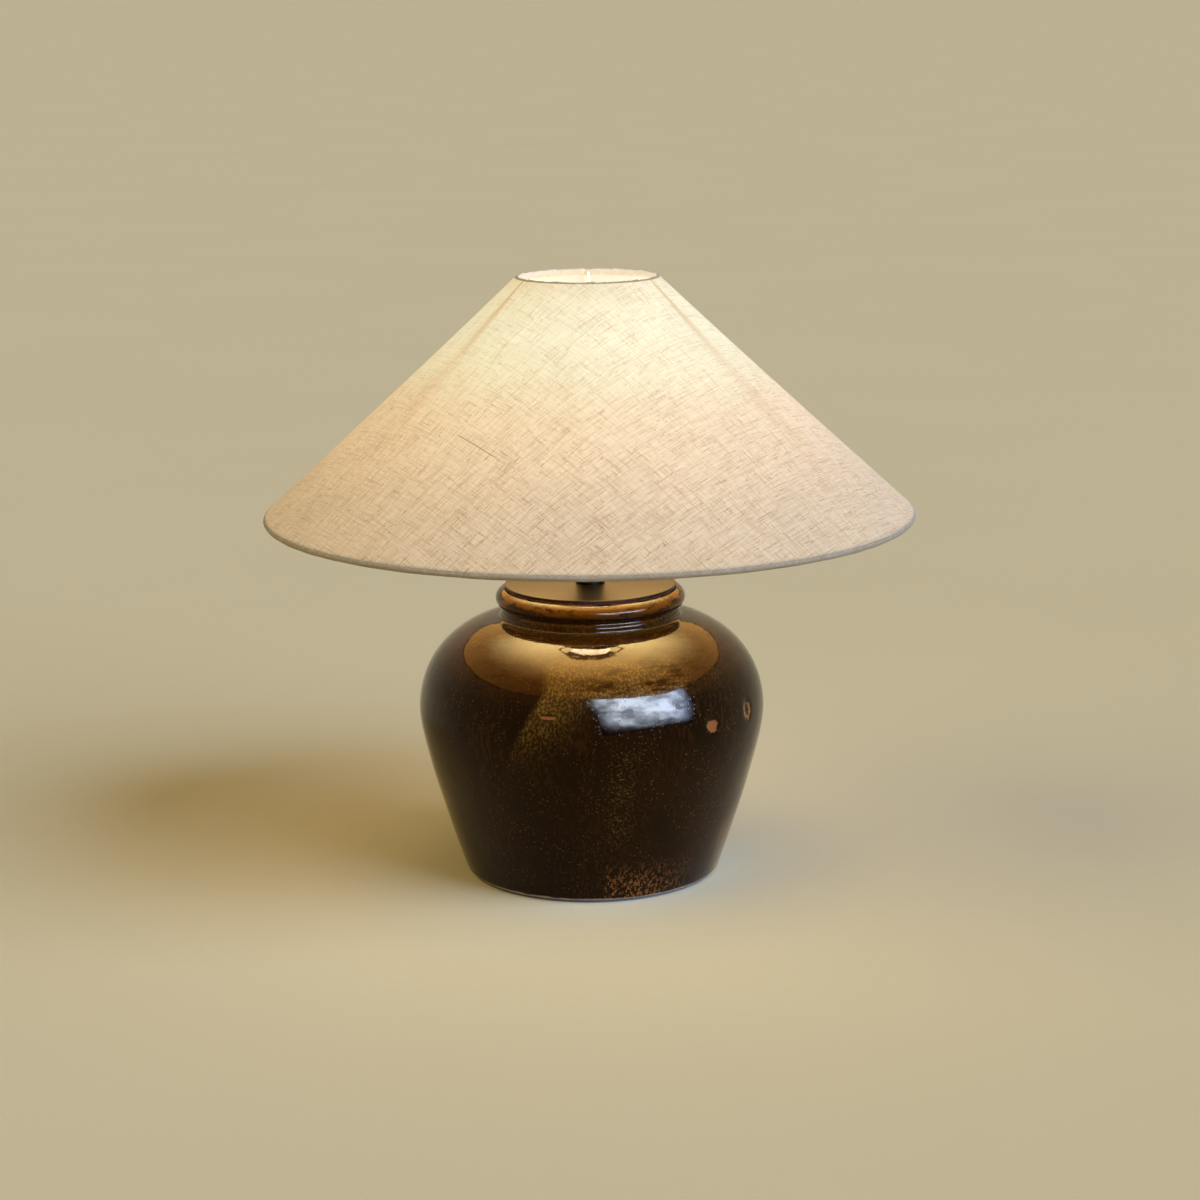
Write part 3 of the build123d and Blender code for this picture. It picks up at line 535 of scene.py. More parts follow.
bronze, tree, shader, here = finish("bronze_lacquer", Metallic=1.0)
lines = lathe_lines(tree, here, 1400.0)
cloud = mottle(tree, here, 55, 4.0, 0.6)
tone = mix(tree, cloud, (0.0230, 0.0120, 0.0058), (0.0330, 0.0172, 0.0086))
tint(tree, shader, ease(tree, lines, 0.3, 0.8), tone, (0.0375, 0.0200, 0.0100))
roughen(tree, shader, lines, 0.18, scaled(tree, cloud, 0.10, 0.22))
relief(tree, shader, lines, 0.00004, 0.6)
dress(bronze, "cover_plate")

# Clamp under the shoulder: a steel cross bar, washer, two nuts and the wiring tube that draw the
# plate down on the lip. They are zinc plated, as the holder's set screw is, so they are grey with
# a cloudy spangle.
zinc, tree, shader, here = finish("zinc_plate", Metallic=1.0)
spangle = grains(tree, here, 260.0)[1][0]
scuff = mottle(tree, here, 130, 5.0, 0.7)
tint(tree, shader, scuff, (0.33, 0.33, 0.32), (0.56, 0.55, 0.52))
roughen(tree, shader, spangle, 0.14, scaled(tree, scuff, 0.25, 0.2))
relief(tree, shader, spangle, 0.00003)
dress(zinc, "clamp_bar", "clamp_washer", "clamp_nut", "lock_nut", "threaded_tube", "grub_screw")

# Tube bush: a ferrule moulded of white nylon and pushed on the tube's lower end, so that the lead
# doesn't chafe there.
nylon, tree, shader, here = finish("white_nylon", Subsurface_Weight=0.1)
flow = mottle(tree, here, (300, 300, 90), 3.0)
tint(tree, shader, flow, (0.66, 0.64, 0.58), (0.80, 0.78, 0.72))
roughen(tree, shader, flow, 0.2, 0.38)
relief(tree, shader, flow, 0.00005)
dress(nylon, "tube_bush")

# Stem collar and sleeve: turned brass, chemically blackened, slipped over the wiring tube from
# the plate up to the holder. Handling has rubbed the black a little brown.
dark, tree, shader, here = finish("black_bronze", Metallic=1.0)
lines = lathe_lines(tree, here, 900.0)
rub = mottle(tree, here, 120, 4.0, 0.65)
tint(tree, shader, ease(tree, rub, 0.45, 0.8), (0.006, 0.005, 0.004), (0.024, 0.016, 0.010))
roughen(tree, shader, lines, 0.2, 0.28)
relief(tree, shader, lines, 0.00004)
dress(dark, "stem_collar", "stem_sleeve")

# Lampholder: black phenolic cup, skirt and retaining ring, moulded and slightly marbled. The cup
# is locked on the tube with a set screw, and the skirt screws into the cup.
phenolic, tree, shader, here = finish("black_phenolic", Specular_IOR_Level=0.12)
swirl = mottle(tree, here, (90, 90, 45), 5.0, 0.65)
tint(tree, shader, ease(tree, swirl, 0.4, 0.75), (0.010, 0.009, 0.009), (0.034, 0.026, 0.021))
roughen(tree, shader, swirl, 0.25, 0.18)
relief(tree, shader, mottle(tree, here, 700, 3.0), 0.00006)
dress(phenolic, "holder_cup", "holder_skirt", "shade_ring")

# Contact block: steatite, a white ceramic with a fine grey grain, pressed and fired. It sits in the
# cup under the screw shell and carries the contacts.
steatite, tree, shader, here = finish("steatite")
grit = mottle(tree, here, 800, 4.0, 0.7)
tint(tree, shader, grit, (0.58, 0.56, 0.50), (0.80, 0.78, 0.73))
roughen(tree, shader, grit, 0.2, 0.5)
relief(tree, shader, grit, 0.00006)
dress(steatite, "contact_block")

# Contacts, terminal screws, screw shell and switch bar: rolled and turned brass, a little
# tarnished. The bar pushes through the cup from side to side to switch the lamp.
brass, tree, shader, here = finish("brass", Metallic=1.0)
tarnish = mottle(tree, here, 150, 5.0, 0.65)
drawn = mottle(tree, here, (120, 1800, 1800), 3.0, 0.6)
tint(tree, shader, ease(tree, tarnish, 0.4, 0.75), (0.62, 0.43, 0.17), (0.33, 0.20, 0.075))
roughen(tree, shader, drawn, 0.25, 0.16)
relief(tree, shader, drawn, 0.00003)
dress(brass, "terminal_screws", "switch_blades", "centre_contact", "screw_shell", "switch_bar")

# Bulb cap: nickel-plated brass with the thread rolled into the sheet. The eyelet is soldered on
# below it, and the leads inside are nickel wire too.
nickel, tree, shader, here = finish("nickel_plate", Metallic=1.0)
breath = mottle(tree, here, 180, 4.0, 0.6)
tint(tree, shader, breath, (0.50, 0.48, 0.44), (0.68, 0.65, 0.60))
roughen(tree, shader, breath, 0.2, 0.14)
relief(tree, shader, breath, 0.00004)
dress(nickel, "bulb_eyelet", "bulb_leads")

cap_low, cap_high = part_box("bulb_cap")
thread_major, thread_depth, thread_pitch, thread_turns, cap_wall = 0.0132, 0.001, 0.003629, 4, 0.0004
thread_run_in, thread_run_out = 0.0012, 0.0015
thread_top = cap_low.z + thread_turns * thread_pitch


def rolled_cap(azimuth, rows=110):
    """Cap wall: a sine thread that climbs one pitch a turn, eased out at its two ends into the
    plain collar above and the insulator's edge below, and a plain inner wall back down."""
    z = np.linspace(cap_low.z, cap_high.z, rows)[:, None]
    wave = 0.5 - 0.5 * np.cos(2 * np.pi * (z - cap_low.z) / thread_pitch - azimuth)
    start = np.clip((z - cap_low.z) / thread_run_in, 0, 1)
    end = np.clip((z - thread_top) / thread_run_out, 0, 1)
    crest = start * ((1 - end) * wave + end)
    outer = thread_major - thread_depth * (1 - crest)
    inner = thread_major - cap_wall - thread_depth * (1 - end) + 0 * azimuth
    return around(np.concatenate([outer, inner[::-1]]), azimuth, np.concatenate([z, z[::-1]]))


round_steps = circle(96)
cap = skin("bulb_cap_rolled", rolled_cap(round_steps), ring=True, crease=60)
put(cap, "bulb", "nickel", nickel, "bulb_cap")

# Insulator: black glass, poured hot into the cap's lower end, where it keeps the eyelet apart from
# the cap. Small bubbles and stones give it a faint grain.
black_glass, tree, shader, here = finish("black_glass")
seeds = mottle(tree, here, 420, 4.0, 0.6)
tint(tree, shader, seeds, (0.008, 0.008, 0.011), (0.035, 0.033, 0.045))
roughen(tree, shader, seeds, 0.2, 0.08)
relief(tree, shader, seeds, 0.0001)
dress(black_glass, "bulb_insulator")

# Globe: blown opal glass, white and lit by the filament behind it, brightest round the middle and
# dimmer down in the neck and at the top. It is cemented into the cap.
globe_low, globe_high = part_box("bulb_globe")
globe_radius, glass_wall, glass_play = 0.030, 0.0009, 0.0003
neck_rise, neck_turn = 0.002, np.radians(30)
globe_neck = thread_major - cap_wall - glass_play
z_globe, z_waist = globe_high.z - globe_radius, cap_high.z + neck_rise


def glass_face(inset):
    """Half section of one face of the glass, set in by that much: up the straight neck, along a
    curve that leaves it straight and meets the ball at neck_turn below its middle, to the pole."""
    ball, neck = globe_radius - inset, globe_neck - inset
    meet = (ball * np.cos(neck_turn), z_globe - ball * np.sin(neck_turn))
    pull = (neck, meet[1] - (meet[0] - neck) / np.tan(neck_turn))
    return np.concatenate([straight((neck, globe_low.z), (neck, z_waist)),
                           bowed((neck, z_waist), pull, meet, count=24)[1:],
                           rounded((0, z_globe), ball, ball, -neck_turn, np.pi / 2, count=48)[1:]])


glass_section = np.concatenate([glass_face(0.0), glass_face(glass_wall)[::-1]])
globe = skin("bulb_glass", turned(glass_section, round_steps), ring=True)


def in_gloss(tree, glow, mirrored):
    """The glow, and the mirrored one for glossy rays. A lit lamp is far brighter than white, which
    only a dark mirror such as the glaze can show."""
    return mix(tree, add(tree, "LightPath").outputs["Is Glossy Ray"], glow, mirrored)


neck_glow, middle_glow, top_glow = (0.30, 0.19, 0.09), (1.0, 0.80, 0.53), (0.20, 0.175, 0.14)
top_start, top_end, mirrored_glow = 0.028, 0.006, (4.4, 3.9, 2.7)
opal, tree, shader, here = finish("lit_opal_glass", Roughness=0.2, Emission_Strength=8.0)
lift = axes(tree, here)[2]
tint(tree, shader, mottle(tree, here, 50, 3.0), (0.82, 0.80, 0.75), (0.90, 0.88, 0.84))
glow = mix(tree, ease(tree, lift, globe_low.z, z_globe), neck_glow, middle_glow)
glow = mix(tree, ease(tree, lift, globe_high.z - top_start, globe_high.z - top_end), glow, top_glow)
wire(tree, in_gloss(tree, glow, mirrored_glow), shader.inputs["Emission Color"])
put(globe, "bulb", "opal_glass", opal, "bulb_globe")

# Mount inside the globe: a clear glass stem that carries the leads, and the filament between their
# ends, coiled from tungsten wire and glowing.
glass, tree, shader, here = finish("clear_glass", Transmission_Weight=1.0, IOR=1.5)
cord_lines = mottle(tree, here, (200, 200, 60), 3.0)
roughen(tree, shader, cord_lines, 0.06, 0.02)
relief(tree, shader, cord_lines, 0.0001)
dress(glass, "bulb_stem")

coil_waves = 9000.0
tungsten, tree, shader, here = finish("hot_tungsten", Metallic=1.0, Roughness=0.4,
                                      Emission_Strength=20.0)
coil = calc(tree, "SINE", calc(tree, "MULTIPLY", axes(tree, here)[0], coil_waves))
coil = scaled(tree, coil, 0.5, 0.5)
tint(tree, shader, coil, (0.16, 0.15, 0.14), (0.36, 0.34, 0.32))
wire(tree, mix(tree, coil, (0.7, 0.4, 0.15), (1.0, 0.75, 0.42)), shader.inputs["Emission Color"])
relief(tree, shader, coil, 0.0002)
dress(tungsten, "bulb_filament")

# Shade frame: two rings, a flat carrier ring and three bent arms of steel wire, welded and
# coated white, now a little grey. The carrier rests on the lampholder's flange.
white_wire, tree, shader, here = finish("white_wire_coat", Coat_Weight=0.1)
coat = mottle(tree, here, 300, 4.0, 0.6)
tint(tree, shader, coat, (0.42, 0.405, 0.365), (0.55, 0.53, 0.485))
roughen(tree, shader, coat, 0.2, 0.35)
relief(tree, shader, coat, 0.00006)
dress(white_wire, "top_ring", "bottom_ring", "spider_ring", "spider_arms")

# Lining: a white film bonded behind the linen, which throws the light about inside the shade.
# The globe lights it more than any other part of the shade, and has toasted it near the top. That
# light is painted: the film glows by height, with a far brighter painted glow for glossy rays.
ring_wire, lining_thickness, linen_thickness, hem = 0.0015, 0.0004, 0.0006, 0.0005
stretch_sag, slow_ripple, quick_ripple = 0.0007, 0.00022, 0.00016
bottom_low, bottom_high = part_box("bottom_ring")
top_low, top_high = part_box("top_ring")
bottom_radius, z_bottom = bottom_high.x - ring_wire, (bottom_low.z + bottom_high.z) / 2
top_radius, z_top = top_high.x - ring_wire, (top_low.z + top_high.z) / 2
slant = np.hypot(bottom_radius - top_radius, z_top - z_bottom)
slope_sine = (bottom_radius - top_radius) / slant
slope_cosine = (z_top - z_bottom) / slant


def cone_layer(azimuth, near, far, rows=60):
    """One layer of the cone as a closed shell: up the outer face and down the inner one. Share 0
    is at the lower ring and 1 at the upper; near and far are distances out from the line of the
    ring centres. Stretched cloth draws in between the rings, and ripples a little round. It gives
    the points and each row's share."""
    up = np.linspace(hem / slant, 1 - hem / slant, rows)
    share = np.r_[up, up[::-1]][:, None]
    out = np.r_[np.full(rows, far), np.full(rows, near)][:, None]
    ripple = slow_ripple * np.sin(9 * azimuth + 1.3) + quick_ripple * np.sin(23 * azimuth + 5 * share)
    out = out + np.sin(np.pi * share) * (ripple - stretch_sag)
    r = bottom_radius - (bottom_radius - top_radius) * share + out * slope_cosine
    z = z_bottom + (z_top - z_bottom) * share + out * slope_sine
    return around(r, azimuth, z), share


def shade_level(tree, lift):
    """Height up the shade: 0 at the lower ring and 1 at the upper."""
    return calc(tree, "DIVIDE", calc(tree, "SUBTRACT", lift, z_bottom), z_top - z_bottom)


cone_turn = circle(360, -np.pi)
lining_grid = cone_layer(cone_turn, ring_wire, ring_wire + lining_thickness)[0]
lining = skin("shade_lining_film", lining_grid, ring=True)

# Painted light: the glow the globe gives the film low, in the middle and near the top, and the brighter
# copies that reflections show.
low_glow, high_glow, upper_glow = (0.50, 0.345, 0.185), (0.60, 0.475, 0.30), (0.40, 0.39, 0.345)
cloud_glow, mirrored_low, mirrored_high = (0.48, 0.365, 0.22), (1.6, 0.80, 0.16), (17.6, 14.0, 5.6)
dull_white, clean_white, toasted_white = (0.54, 0.525, 0.48), (0.60, 0.585, 0.54), (0.40, 0.39, 0.365)
film, tree, shader, here = finish("white_lining_film", Roughness=0.6, Emission_Strength=1.0)
level = shade_level(tree, axes(tree, here)[2])
cloud = mottle(tree, here, 25, 2.0)
glow = mix(tree, ease(tree, level, 0.0, 0.55), low_glow, high_glow)
glow = mix(tree, ease(tree, level, 0.62, 0.88), glow, upper_glow)
glow = mix(tree, both(tree, cloud, 0.2), glow, cloud_glow)
mirrored = mix(tree, ease(tree, level, 0.20, 0.85), mirrored_low, mirrored_high)
wire(tree, in_gloss(tree, glow, mirrored), shader.inputs["Emission Color"])
film_white = mix(tree, cloud, dull_white, clean_white)
tint(tree, shader, ease(tree, level, 0.70, 0.92), film_white, toasted_white)
relief(tree, shader, mottle(tree, here, 120, 3.0), 0.0002)
put(lining, "shade", "lining", film, "shade_lining")

# Linen: a natural plain-weave cloth, cut on the bias as one annular sector and stretched over the
# rings, lapped and glued at the back. The lamp shines through it, and thick threads show as flecks.
# That light is painted: the cloth glows by height, and the arms' shadow is painted on it.


def flat_place(azimuth, share):
    """Where a point of the cone lies in the flat cut: its distance from the cone's tip, at the
    azimuth times the sine of the slope. The front runs down from the tip."""
    tip = (bottom_radius / slope_sine) - slant * share
    spread_angle = azimuth * slope_sine
    return np.stack([tip * np.sin(spread_angle), -tip * np.cos(spread_angle)], -1)


seam_turn = np.r_[cone_turn, np.pi]
linen_grid, share = cone_layer(cone_turn, ring_wire + lining_thickness,
                               ring_wire + lining_thickness + linen_thickness)
linen = skin("shade_linen", linen_grid, flat_place(seam_turn, share), ring=True)

weave = bpy.data.node_groups.new("linen_weave", "ShaderNodeTree")
for name, kind in (("Flat", "Vector"), ("Pitch", "Float"), ("Turn", "Float")):
    weave.interface.new_socket(name, in_out="INPUT", socket_type="NodeSocket" + kind)
for name in ("Fleck", "Tone", "Height"):
    weave.interface.new_socket(name, in_out="OUTPUT", socket_type="NodeSocketFloat")
inlet = weave.nodes.new("NodeGroupInput").outputs
outlet = weave.nodes.new("NodeGroupOutput").inputs
slub_scale, slub_offset, slub_ends, slub_share = 45.0, 57.3, (0.46, 0.70), 0.42
fleck_scale, fleck_run, warp_fleck, weft_fleck = 120.0, 0.12, 0.915, 0.940
thread_step, warp_seed, weft_seed, under_share = 7.31, 411.7, 0.0, 0.7
laid = {"Vector": inlet["Flat"], "Angle": inlet["Turn"]}
run = axes(weave, add(weave, "VectorRotate", laid, rotation_type="Z_AXIS").outputs[0])


def threads(tree, along, across, pitch, seed, fleck_start):
    """One set of parallel threads. Each has a number, and from that its own noise along its length:
    a slow one that makes it thicker for a stretch, and a quick one whose peaks there are brown
    flecks. Its crown is a half sine."""
    count = calc(tree, "DIVIDE", across, pitch)
    number = calc(tree, "FLOOR", count)

    def along_thread(scale, offset):
        place = add(tree, "CombineXYZ", {0: calc(tree, "MULTIPLY", along, scale),
                                         1: scaled(tree, number, thread_step, seed + offset)})
        feeds = {"Vector": place.outputs[0], "Scale": 1.0, "Detail": 3.0, "Roughness": 0.65}
        return add(tree, "TexNoise", feeds, noise_dimensions="2D").outputs["Fac"]

    crown = calc(tree, "SINE", calc(tree, "MULTIPLY", calc(tree, "FRACT", count), np.pi))
    slow, quick = along_thread(slub_scale, slub_offset), along_thread(fleck_scale, 0.0)
    line = calc(tree, "MULTIPLY", ease(tree, slow, *slub_ends), slub_share)
    peak = ease(tree, scaled(tree, slow, 0.55, quick), fleck_start, fleck_start + fleck_run)
    return number, calc(tree, "MAXIMUM", line, peak), slow, crown


warp = threads(weave, run[1], run[0], inlet["Pitch"], warp_seed, warp_fleck)
weft = threads(weave, run[0], run[1], inlet["Pitch"], weft_seed, weft_fleck)
warp_up = calc(weave, "FLOORED_MODULO", calc(weave, "ADD", warp[0], weft[0]), 2.0)
weft_up = calc(weave, "SUBTRACT", 1.0, warp_up)
shown_warp = both(weave, warp[1], scaled(weave, warp_up, 1 - under_share, under_share))
shown_weft = both(weave, weft[1], scaled(weave, weft_up, 1 - under_share, under_share))
wire(weave, calc(weave, "MAXIMUM", shown_warp, shown_weft), outlet["Fleck"])
wire(weave, scaled(weave, warp[2], 0.6, both(weave, weft[2], 0.4)), outlet["Tone"])
wire(weave, scaled(weave, warp[3], warp_up, both(weave, weft[3], weft_up)), outlet["Height"])

cloth_pitch, bias, seam_lap, lap_edge = 0.00050, np.radians(46), 0.010, 0.0004
arm_step, arm_heading, arm_shadow_start, arm_shadow_spread = 120.0, 90.0, 0.0011, 0.017
arm_shadow_far, arm_shadow_near, arm_shadow_reach = 0.34, 0.42, 0.34
inner_edge, inner_full, lap_strength = 0.0005, 0.0010, 0.6
dark_fibre = np.array([flat_place(np.radians(-36.0), 0.4485), flat_place(np.radians(-22.5), 0.3840)])
fibre_taper_in, fibre_taper_out, fibre_edge, fibre_core = 0.004, 0.002, 0.00036, 0.00020
fleck_brown, shadow_brown = (0.250, 0.135, 0.054), (0.300, 0.195, 0.100)
low_thread_light, high_thread_light = (0.45, 0.24, 0.10), (0.52, 0.42, 0.22)
all_light, shadow_light, lap_light = (1.0, 1.0, 1.0), (0.72, 0.48, 0.24), (0.60, 0.46, 0.30)


def long_fibre(tree, flat):
    """Mask of the long dark fibre: a straight line in the flat cloth that tapers at its ends."""
    lie = dark_fibre[1] - dark_fibre[0]
    feeds = {"Vector": flat, "Location": (*dark_fibre[0], 0),
             "Rotation": (0, 0, np.arctan2(lie[1], lie[0]))}
    along, aside = axes(tree, add(tree, "Mapping", feeds, vector_type="TEXTURE").outputs[0])[:2]
    length = float(np.hypot(*lie))
    return both(tree, between(tree, along, 0.0, fibre_taper_in, length, fibre_taper_out),
                ease(tree, calc(tree, "ABSOLUTE", aside), fibre_edge, fibre_core))


def arm_shadow(tree, place, radius, level):
    """Soft shadow of the arms: a bell across each arm's line, which widens and fades away from
    the upper ring. Headings here are degrees from +X."""
    heading = calc(tree, "DEGREES", calc(tree, "ARCTAN2", place[1], place[0]))
    off_arm = calc(tree, "WRAP", calc(tree, "SUBTRACT", heading, arm_heading), arm_step / 2, -arm_step / 2)
    aside = calc(tree, "MULTIPLY", calc(tree, "RADIANS", off_arm), radius)
    down = calc(tree, "SUBTRACT", 1.0, level)
    width = scaled(tree, down, arm_shadow_spread, arm_shadow_start)
    widths_off = calc(tree, "POWER", calc(tree, "DIVIDE", aside, width), 2.0)
    bell = calc(tree, "EXPONENT", calc(tree, "MULTIPLY", widths_off, -1.0))
    near = ease(tree, down, arm_shadow_reach, 0.0)
    return both(tree, bell, scaled(tree, near, arm_shadow_near, arm_shadow_far),
                ease(tree, down, 1.05, 0.10))


def by_level(tree, level, stops):
    """Colour up the shade, between stops of a level with its red, green and blue."""
    ramp = add(tree, "ValToRGB", {0: level})
    marks = ramp.color_ramp.elements
    while len(marks) < len(stops):
        marks.new(0.5)
    for mark, (at, *colour) in zip(marks, stops):
        mark.position, mark.color = at, (*colour, 1)
    return ramp.outputs[0]


def linen_finish(name, pale_thread, dull_thread, glow_stops, lit_inside=None):
    """Linen on its flat map: pale threads with brown flecks and one long dark fibre. Its glow is
    painted light, by height up the shade, less and browner at flecks and in the arms' painted
    shadow, which browns the base colour too. Two layers lap at the back, so less light comes
    through there. Cloth on the inner side of the upper ring may be painted lit instead."""
    material, tree, shader, here = finish(name, Roughness=0.9, Sheen_Weight=0.10,
                                          Specular_IOR_Level=0.03, Emission_Strength=1.0)
    flat = add(tree, "UVMap", uv_map="flat").outputs[0]
    cloth = add(tree, "Group", node_tree=weave)
    for socket, value in (("Flat", flat), ("Pitch", cloth_pitch), ("Turn", bias)):
        wire(tree, value, cloth.inputs[socket])
    fleck, tone, height = (cloth.outputs[n] for n in ("Fleck", "Tone", "Height"))
    place = axes(tree, here)
    level, radius = shade_level(tree, place[2]), hypotenuse(tree, place[0], place[1])
    shade = arm_shadow(tree, place, radius, level)
    lap = both(tree, between(tree, place[0], -seam_lap, lap_edge, lap_edge, lap_edge),
               ease(tree, place[1], 0.0, 0.001))

    thick_places = ease(tree, mottle(tree, here, 40, 3.0), 0.25, 0.70)
    fleck = both(tree, fleck, scaled(tree, thick_places, 0.50, 0.55))
    fleck = calc(tree, "MAXIMUM", fleck, long_fibre(tree, flat))
    cloud = mottle(tree, here, 16, 3.0)
    thread = mix(tree, ease(tree, tone, 0.30, 0.70), pale_thread, dull_thread)
    thread = mix(tree, both(tree, cloud, 0.25), thread, dull_thread)
    thread = mix(tree, fleck, thread, fleck_brown)
    # Painted shadow of the arms, in the base colour as well.
    tint(tree, shader, shade, thread, shadow_brown)
    relief(tree, shader, scaled(tree, lap, 2.0, height), 0.00018, 0.6)

    lost = both(tree, fleck, scaled(tree, ease(tree, level, 0.30, 0.85), -0.45, 1.0))
    thread_light = mix(tree, ease(tree, level, 0.35, 0.80), low_thread_light, high_thread_light)
    through = mix(tree, lost, all_light, thread_light)
    through = mix(tree, shade, through, shadow_light)
    through = mix(tree, both(tree, lap, lap_strength), through, lap_light)
    glow = by_level(tree, level, glow_stops)
    thin = both(tree, scaled(tree, tone, -0.40, 1.200), scaled(tree, cloud, -0.16, 1.08))
    for share in (through, thin):
        glow = add(tree, "VectorMath", {0: glow, 1: share}, operation="MULTIPLY").outputs[0]
    if lit_inside:
        inner = both(tree, ease(tree, radius, top_radius + inner_edge, top_radius - inner_full),
                     ease(tree, level, 0.5, 0.6))
        glow = mix(tree, inner, glow, lit_inside)
    wire(tree, glow, shader.inputs["Emission Color"])
    return material


# The painted glow up the shade: each stop is a level with red, green and blue.
lit_linen = linen_finish("lit_linen", (0.46, 0.41, 0.315), (0.36, 0.31, 0.225), (
    (0.00, 0.05, 0.030, 0.012), (0.012, 0.07, 0.045, 0.020), (0.022, 0.335, 0.210, 0.105),
    (0.18, 0.395, 0.255, 0.130), (0.35, 0.52, 0.345, 0.180), (0.52, 0.60, 0.420, 0.225),
    (0.68, 0.635, 0.540, 0.325), (0.82, 0.645, 0.580, 0.380), (0.94, 0.63, 0.555, 0.350),
    (1.00, 0.59, 0.490, 0.295)))
put(linen, "shade", "linen", lit_linen, "shade_cover")

# Rolled edges: the linen's own margins, turned over the two wire rings and glued inside. They are
# several layers thick, so hardly any light comes through, and the upper one is nicked for the arms.
# Their threads are painted darker than the shade's linen, as painted shade, with a faint painted
# glow, and the inner side of the upper ring is painted lit by the globe.
edge_radius = ring_wire + lining_thickness + linen_thickness
edge_swell, edge_lumps, edge_flattening, edge_least = 0.00007, 0.00006, 0.0004, 0.00003
nick_width, nick_left, fray_height = 0.003, 0.00005, 0.0005
arm_azimuths = np.radians(arm_heading + 90.0 + arm_step * np.arange(3))
edge_side = circle(20)[:, None]


def rolled_edge(azimuth, radius, height, nicked):
    """A tube round a wire ring: its own thickness swells and shrinks a little round the ring, and
    less of it lies underneath. A nicked one is pressed down to the wire on the inner side beside
    each arm, and its top frays."""
    thick = edge_radius - edge_swell * (1 + np.sin(41 * azimuth + 2 * np.sin(7 * azimuth)))
    thick = thick - edge_lumps * (1 + np.sin(3 * edge_side + 17 * azimuth))
    thick = thick - edge_flattening * np.clip(-np.sin(edge_side), 0, 1)
    if nicked:
        gap = (azimuth[:, None] - arm_azimuths + np.pi) % (2 * np.pi) - np.pi
        press = np.exp(-(gap * radius / nick_width)**4).sum(1)
        inward = np.clip(-1.6 * np.cos(edge_side), 0, 1)
        thick = thick - (edge_radius - ring_wire - nick_left) * press * inward
        thick = np.maximum(thick, ring_wire + edge_least)
        frayed = np.sin(7 * azimuth + 1.7) * np.sin(19 * azimuth + 0.4) + 0.35 * np.sin(83 * azimuth)
        upward = np.clip(np.sin(edge_side), 0, 1)**2
        thick = thick + fray_height * np.clip(frayed, 0, 1) * (1 - press) * upward
    return around(radius + thick * np.cos(edge_side), azimuth, height + thick * np.sin(edge_side))


def edge_flat(azimuth, radius):
    """The edge's flat place: length round the ring, and length round the tube."""
    return np.stack(np.broadcast_arrays(azimuth * radius, edge_side * edge_radius), -1)


# Painted shade: darker threads than the lit linen, a faint painted glow, and a painted lit band inside the
# upper ring.
painted_shade_edge_linen = linen_finish("painted_shade_edge_linen", (0.37, 0.325, 0.245), (0.28, 0.235, 0.165), (
    (0.00, 0.030, 0.020, 0.009), (0.02, 0.10, 0.068, 0.030),
    (0.98, 0.12, 0.068, 0.026), (1.00, 0.12, 0.068, 0.026)), lit_inside=(0.62, 0.52, 0.40))
edge_turn = circle(720, -np.pi)
for name, radius, height, node in (("bottom_edge", bottom_radius, z_bottom, "bottom_binding"),
                                   ("top_edge", top_radius, z_top, "top_binding")):
    edge = skin(name, rolled_edge(edge_turn, radius, height, name == "top_edge"),
                edge_flat(np.r_[edge_turn, np.pi], radius), ring=True)
    put(edge, "shade", "linen", painted_shade_edge_linen, node)

# Studio: a plain pale floor that is clear from below, a soft cool key from the front right, a weak
# warm fill from the left, a reflected soft box and a camera where the photograph was taken.
backdrop, ambient = (0.502, 0.434, 0.292), (0.19, 0.14, 0.075)
floor_dull, floor_pale, reach = (0.575, 0.480, 0.317), (0.595, 0.500, 0.331), 400.0
floor_rows = np.array([[0.0, 0.0], [reach, 0.0]])
floor = skin("floor", turned(floor_rows, circle(64))[::-1])
paint, tree, shader, here = finish("pale_floor", Roughness=0.8, Specular_IOR_Level=0.0)
tint(tree, shader, mottle(tree, here, 2.0), floor_dull, floor_pale)
below = add(tree, "MixShader", {0: add(tree, "NewGeometry").outputs["Backfacing"], 1: shader.outputs[0],
                                2: add(tree, "BsdfTransparent").outputs[0]})
wire(tree, below.outputs[0], tree.nodes["Material Output"].inputs["Surface"])
floor.data.materials.append(paint)

world = bpy.data.worlds.new("studio")
world.use_nodes = True
bpy.context.scene.world = world
tree = world.node_tree
seen = add(tree, "LightPath").outputs
shown = calc(tree, "MAXIMUM", seen["Is Camera Ray"],
             calc(tree, "MAXIMUM", seen["Is Glossy Ray"], seen["Is Transmission Ray"]))
wire(tree, mix(tree, shown, ambient, backdrop), tree.nodes["Background"].inputs["Color"])


def aimed(azimuth, elevation, distance, target_height):
    """Place and turn of a lamp that looks at the axis from that side."""
    a, e = np.radians((azimuth, elevation))
    away = np.array([np.sin(a) * np.cos(e), -np.cos(a) * np.cos(e), np.sin(e)])
    turn = Matrix.Rotation(a, 4, "Z") @ Matrix.Rotation(np.pi / 2 - e, 4, "X")
    return Matrix.Translation(away * distance + (0, 0, target_height)) @ turn


# Each lamp: its name, strength, colour and azimuth in degrees.
lamps = (("key", 3.2, (0.78, 0.96, 1.24), 60), ("fill", 1.2, (1.0, 0.88, 0.42), -75))
lamp_softness, lamp_elevation, lamp_distance, lamp_target = np.radians(50), 35, 3.0, 0.2
for name, energy, colour, side in lamps:
    lamp_data = bpy.data.lights.new(name, "SUN")
    lamp_data.energy, lamp_data.angle, lamp_data.color = energy, lamp_softness, colour
    lamp = bpy.data.objects.new(name, lamp_data)
    lamp.matrix_world = aimed(side, lamp_elevation, lamp_distance, lamp_target)
    lamp.visible_glossy = False
    bpy.context.scene.collection.objects.link(lamp)

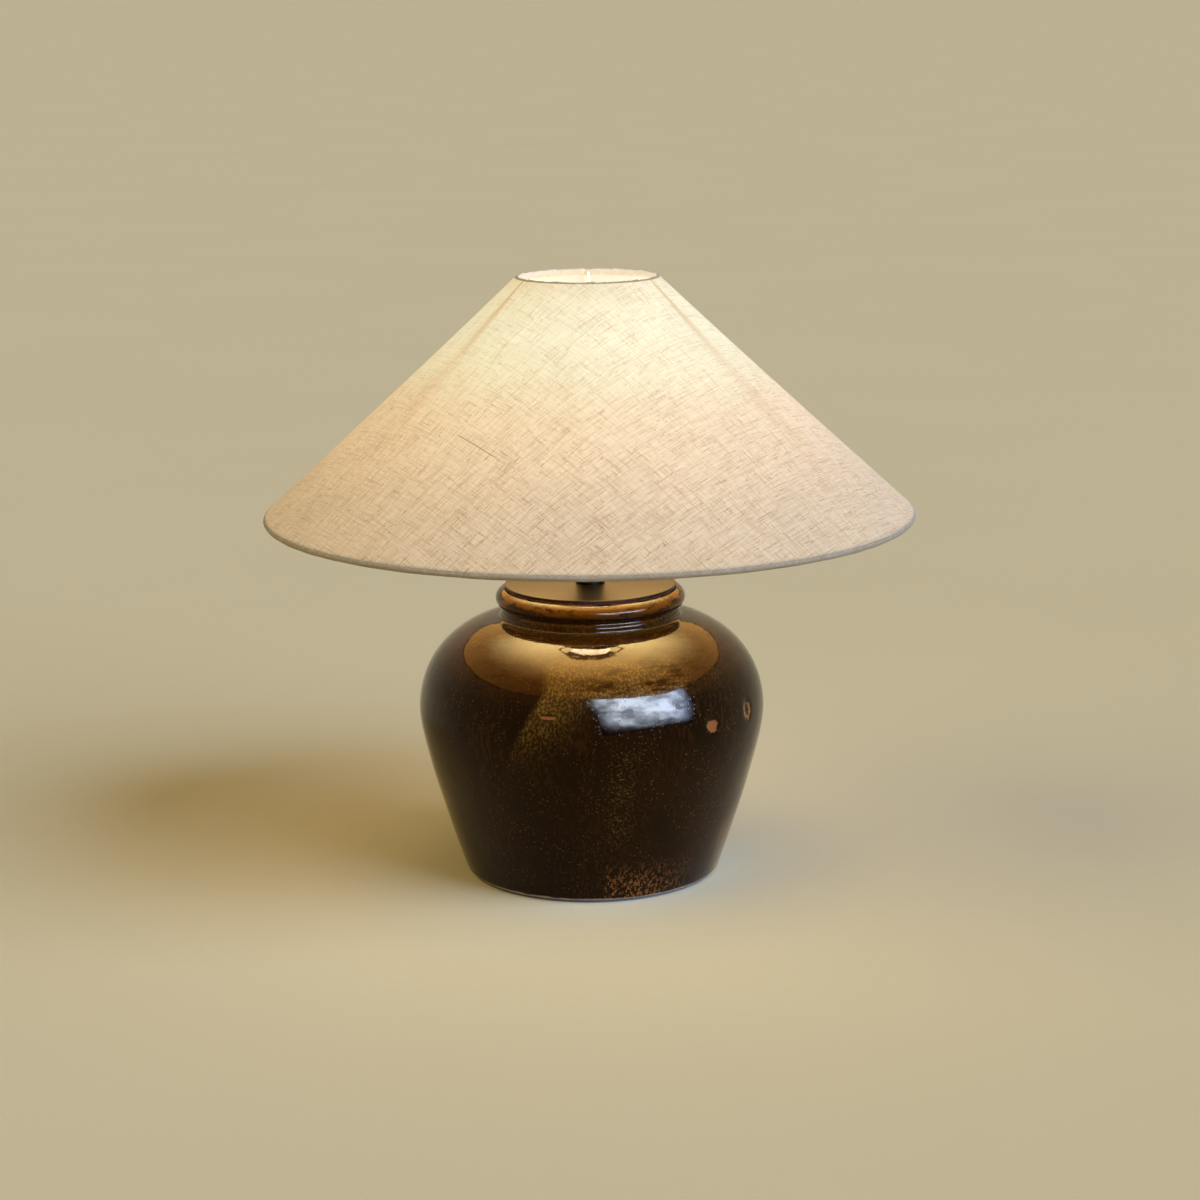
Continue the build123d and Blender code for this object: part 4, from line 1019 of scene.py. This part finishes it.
# A light card that only the gloss shows: soft at its edges and unevenly bright.
card_width, card_height, card_colour, least_shine, dapple_shine = 2.6, 1.9, (0.90, 1.66, 3.70), 12.0, 36.0
card_azimuth, card_elevation, card_distance, card_target = 38, 26, 2.0, 0.14
card_place = np.array(aimed(card_azimuth, card_elevation, card_distance, card_target))
card_corners = np.array([[-1, -1, 0, 2], [1, -1, 0, 2], [1, 1, 0, 2], [-1, 1, 0, 2]]) / 2
card_corners = card_corners * (card_width, card_height, 1, 1) @ card_place.T
card_mesh = bpy.data.meshes.new("light_card")
card_mesh.from_pydata(card_corners[:, :3].tolist(), [], [(0, 1, 2, 3)])
card_mesh.uv_layers.new(name="card").data.foreach_set("uv", [0, 0, 1, 0, 1, 1, 0, 1])
card = bpy.data.objects.new("light_card", card_mesh)
bpy.context.scene.collection.objects.link(card)
card_light = bpy.data.materials.new("light_card")
card_light.use_nodes = True
tree = card_light.node_tree
tree.nodes.remove(tree.nodes["Principled BSDF"])
flat = add(tree, "UVMap", uv_map="card").outputs[0]
across, up = axes(tree, flat)[:2]
soft = both(tree, between(tree, across, 0.0, 0.25, 1.0, 0.25), between(tree, up, 0.0, 0.45, 1.0, 0.12))
dapple = ease(tree, mottle(tree, flat, 3.4, 3.0, 0.6), 0.36, 0.60)
shine = both(tree, soft, scaled(tree, dapple, dapple_shine, least_shine))
emit = add(tree, "Emission", {"Color": (*card_colour, 1), "Strength": shine})
wire(tree, emit.outputs[0], tree.nodes["Material Output"].inputs["Surface"])
card_mesh.materials.append(card_light)
card.visible_camera = card.visible_diffuse = card.visible_shadow = card.visible_transmission = False

image_side, focal_pixels, sensor = 1200, 2700, 36.0
camera_data = bpy.data.cameras.new("camera")
camera_data.sensor_width, camera_data.lens = sensor, sensor * focal_pixels / image_side
camera_data.clip_end = 2 * reach
camera = bpy.data.objects.new("camera", camera_data)
camera_place, pitch_down, roll = (0.0067, -1.841, 0.6022), np.radians(12.559), np.radians(0.521)
camera.matrix_world = (Matrix.Translation(camera_place)
                       @ Matrix.Rotation(np.pi / 2 - pitch_down, 4, "X")
                       @ Matrix.Rotation(-roll, 4, "Z"))
bpy.context.scene.collection.objects.link(camera)
bpy.context.scene.camera = camera
bpy.context.scene.view_settings.view_transform = "Standard"
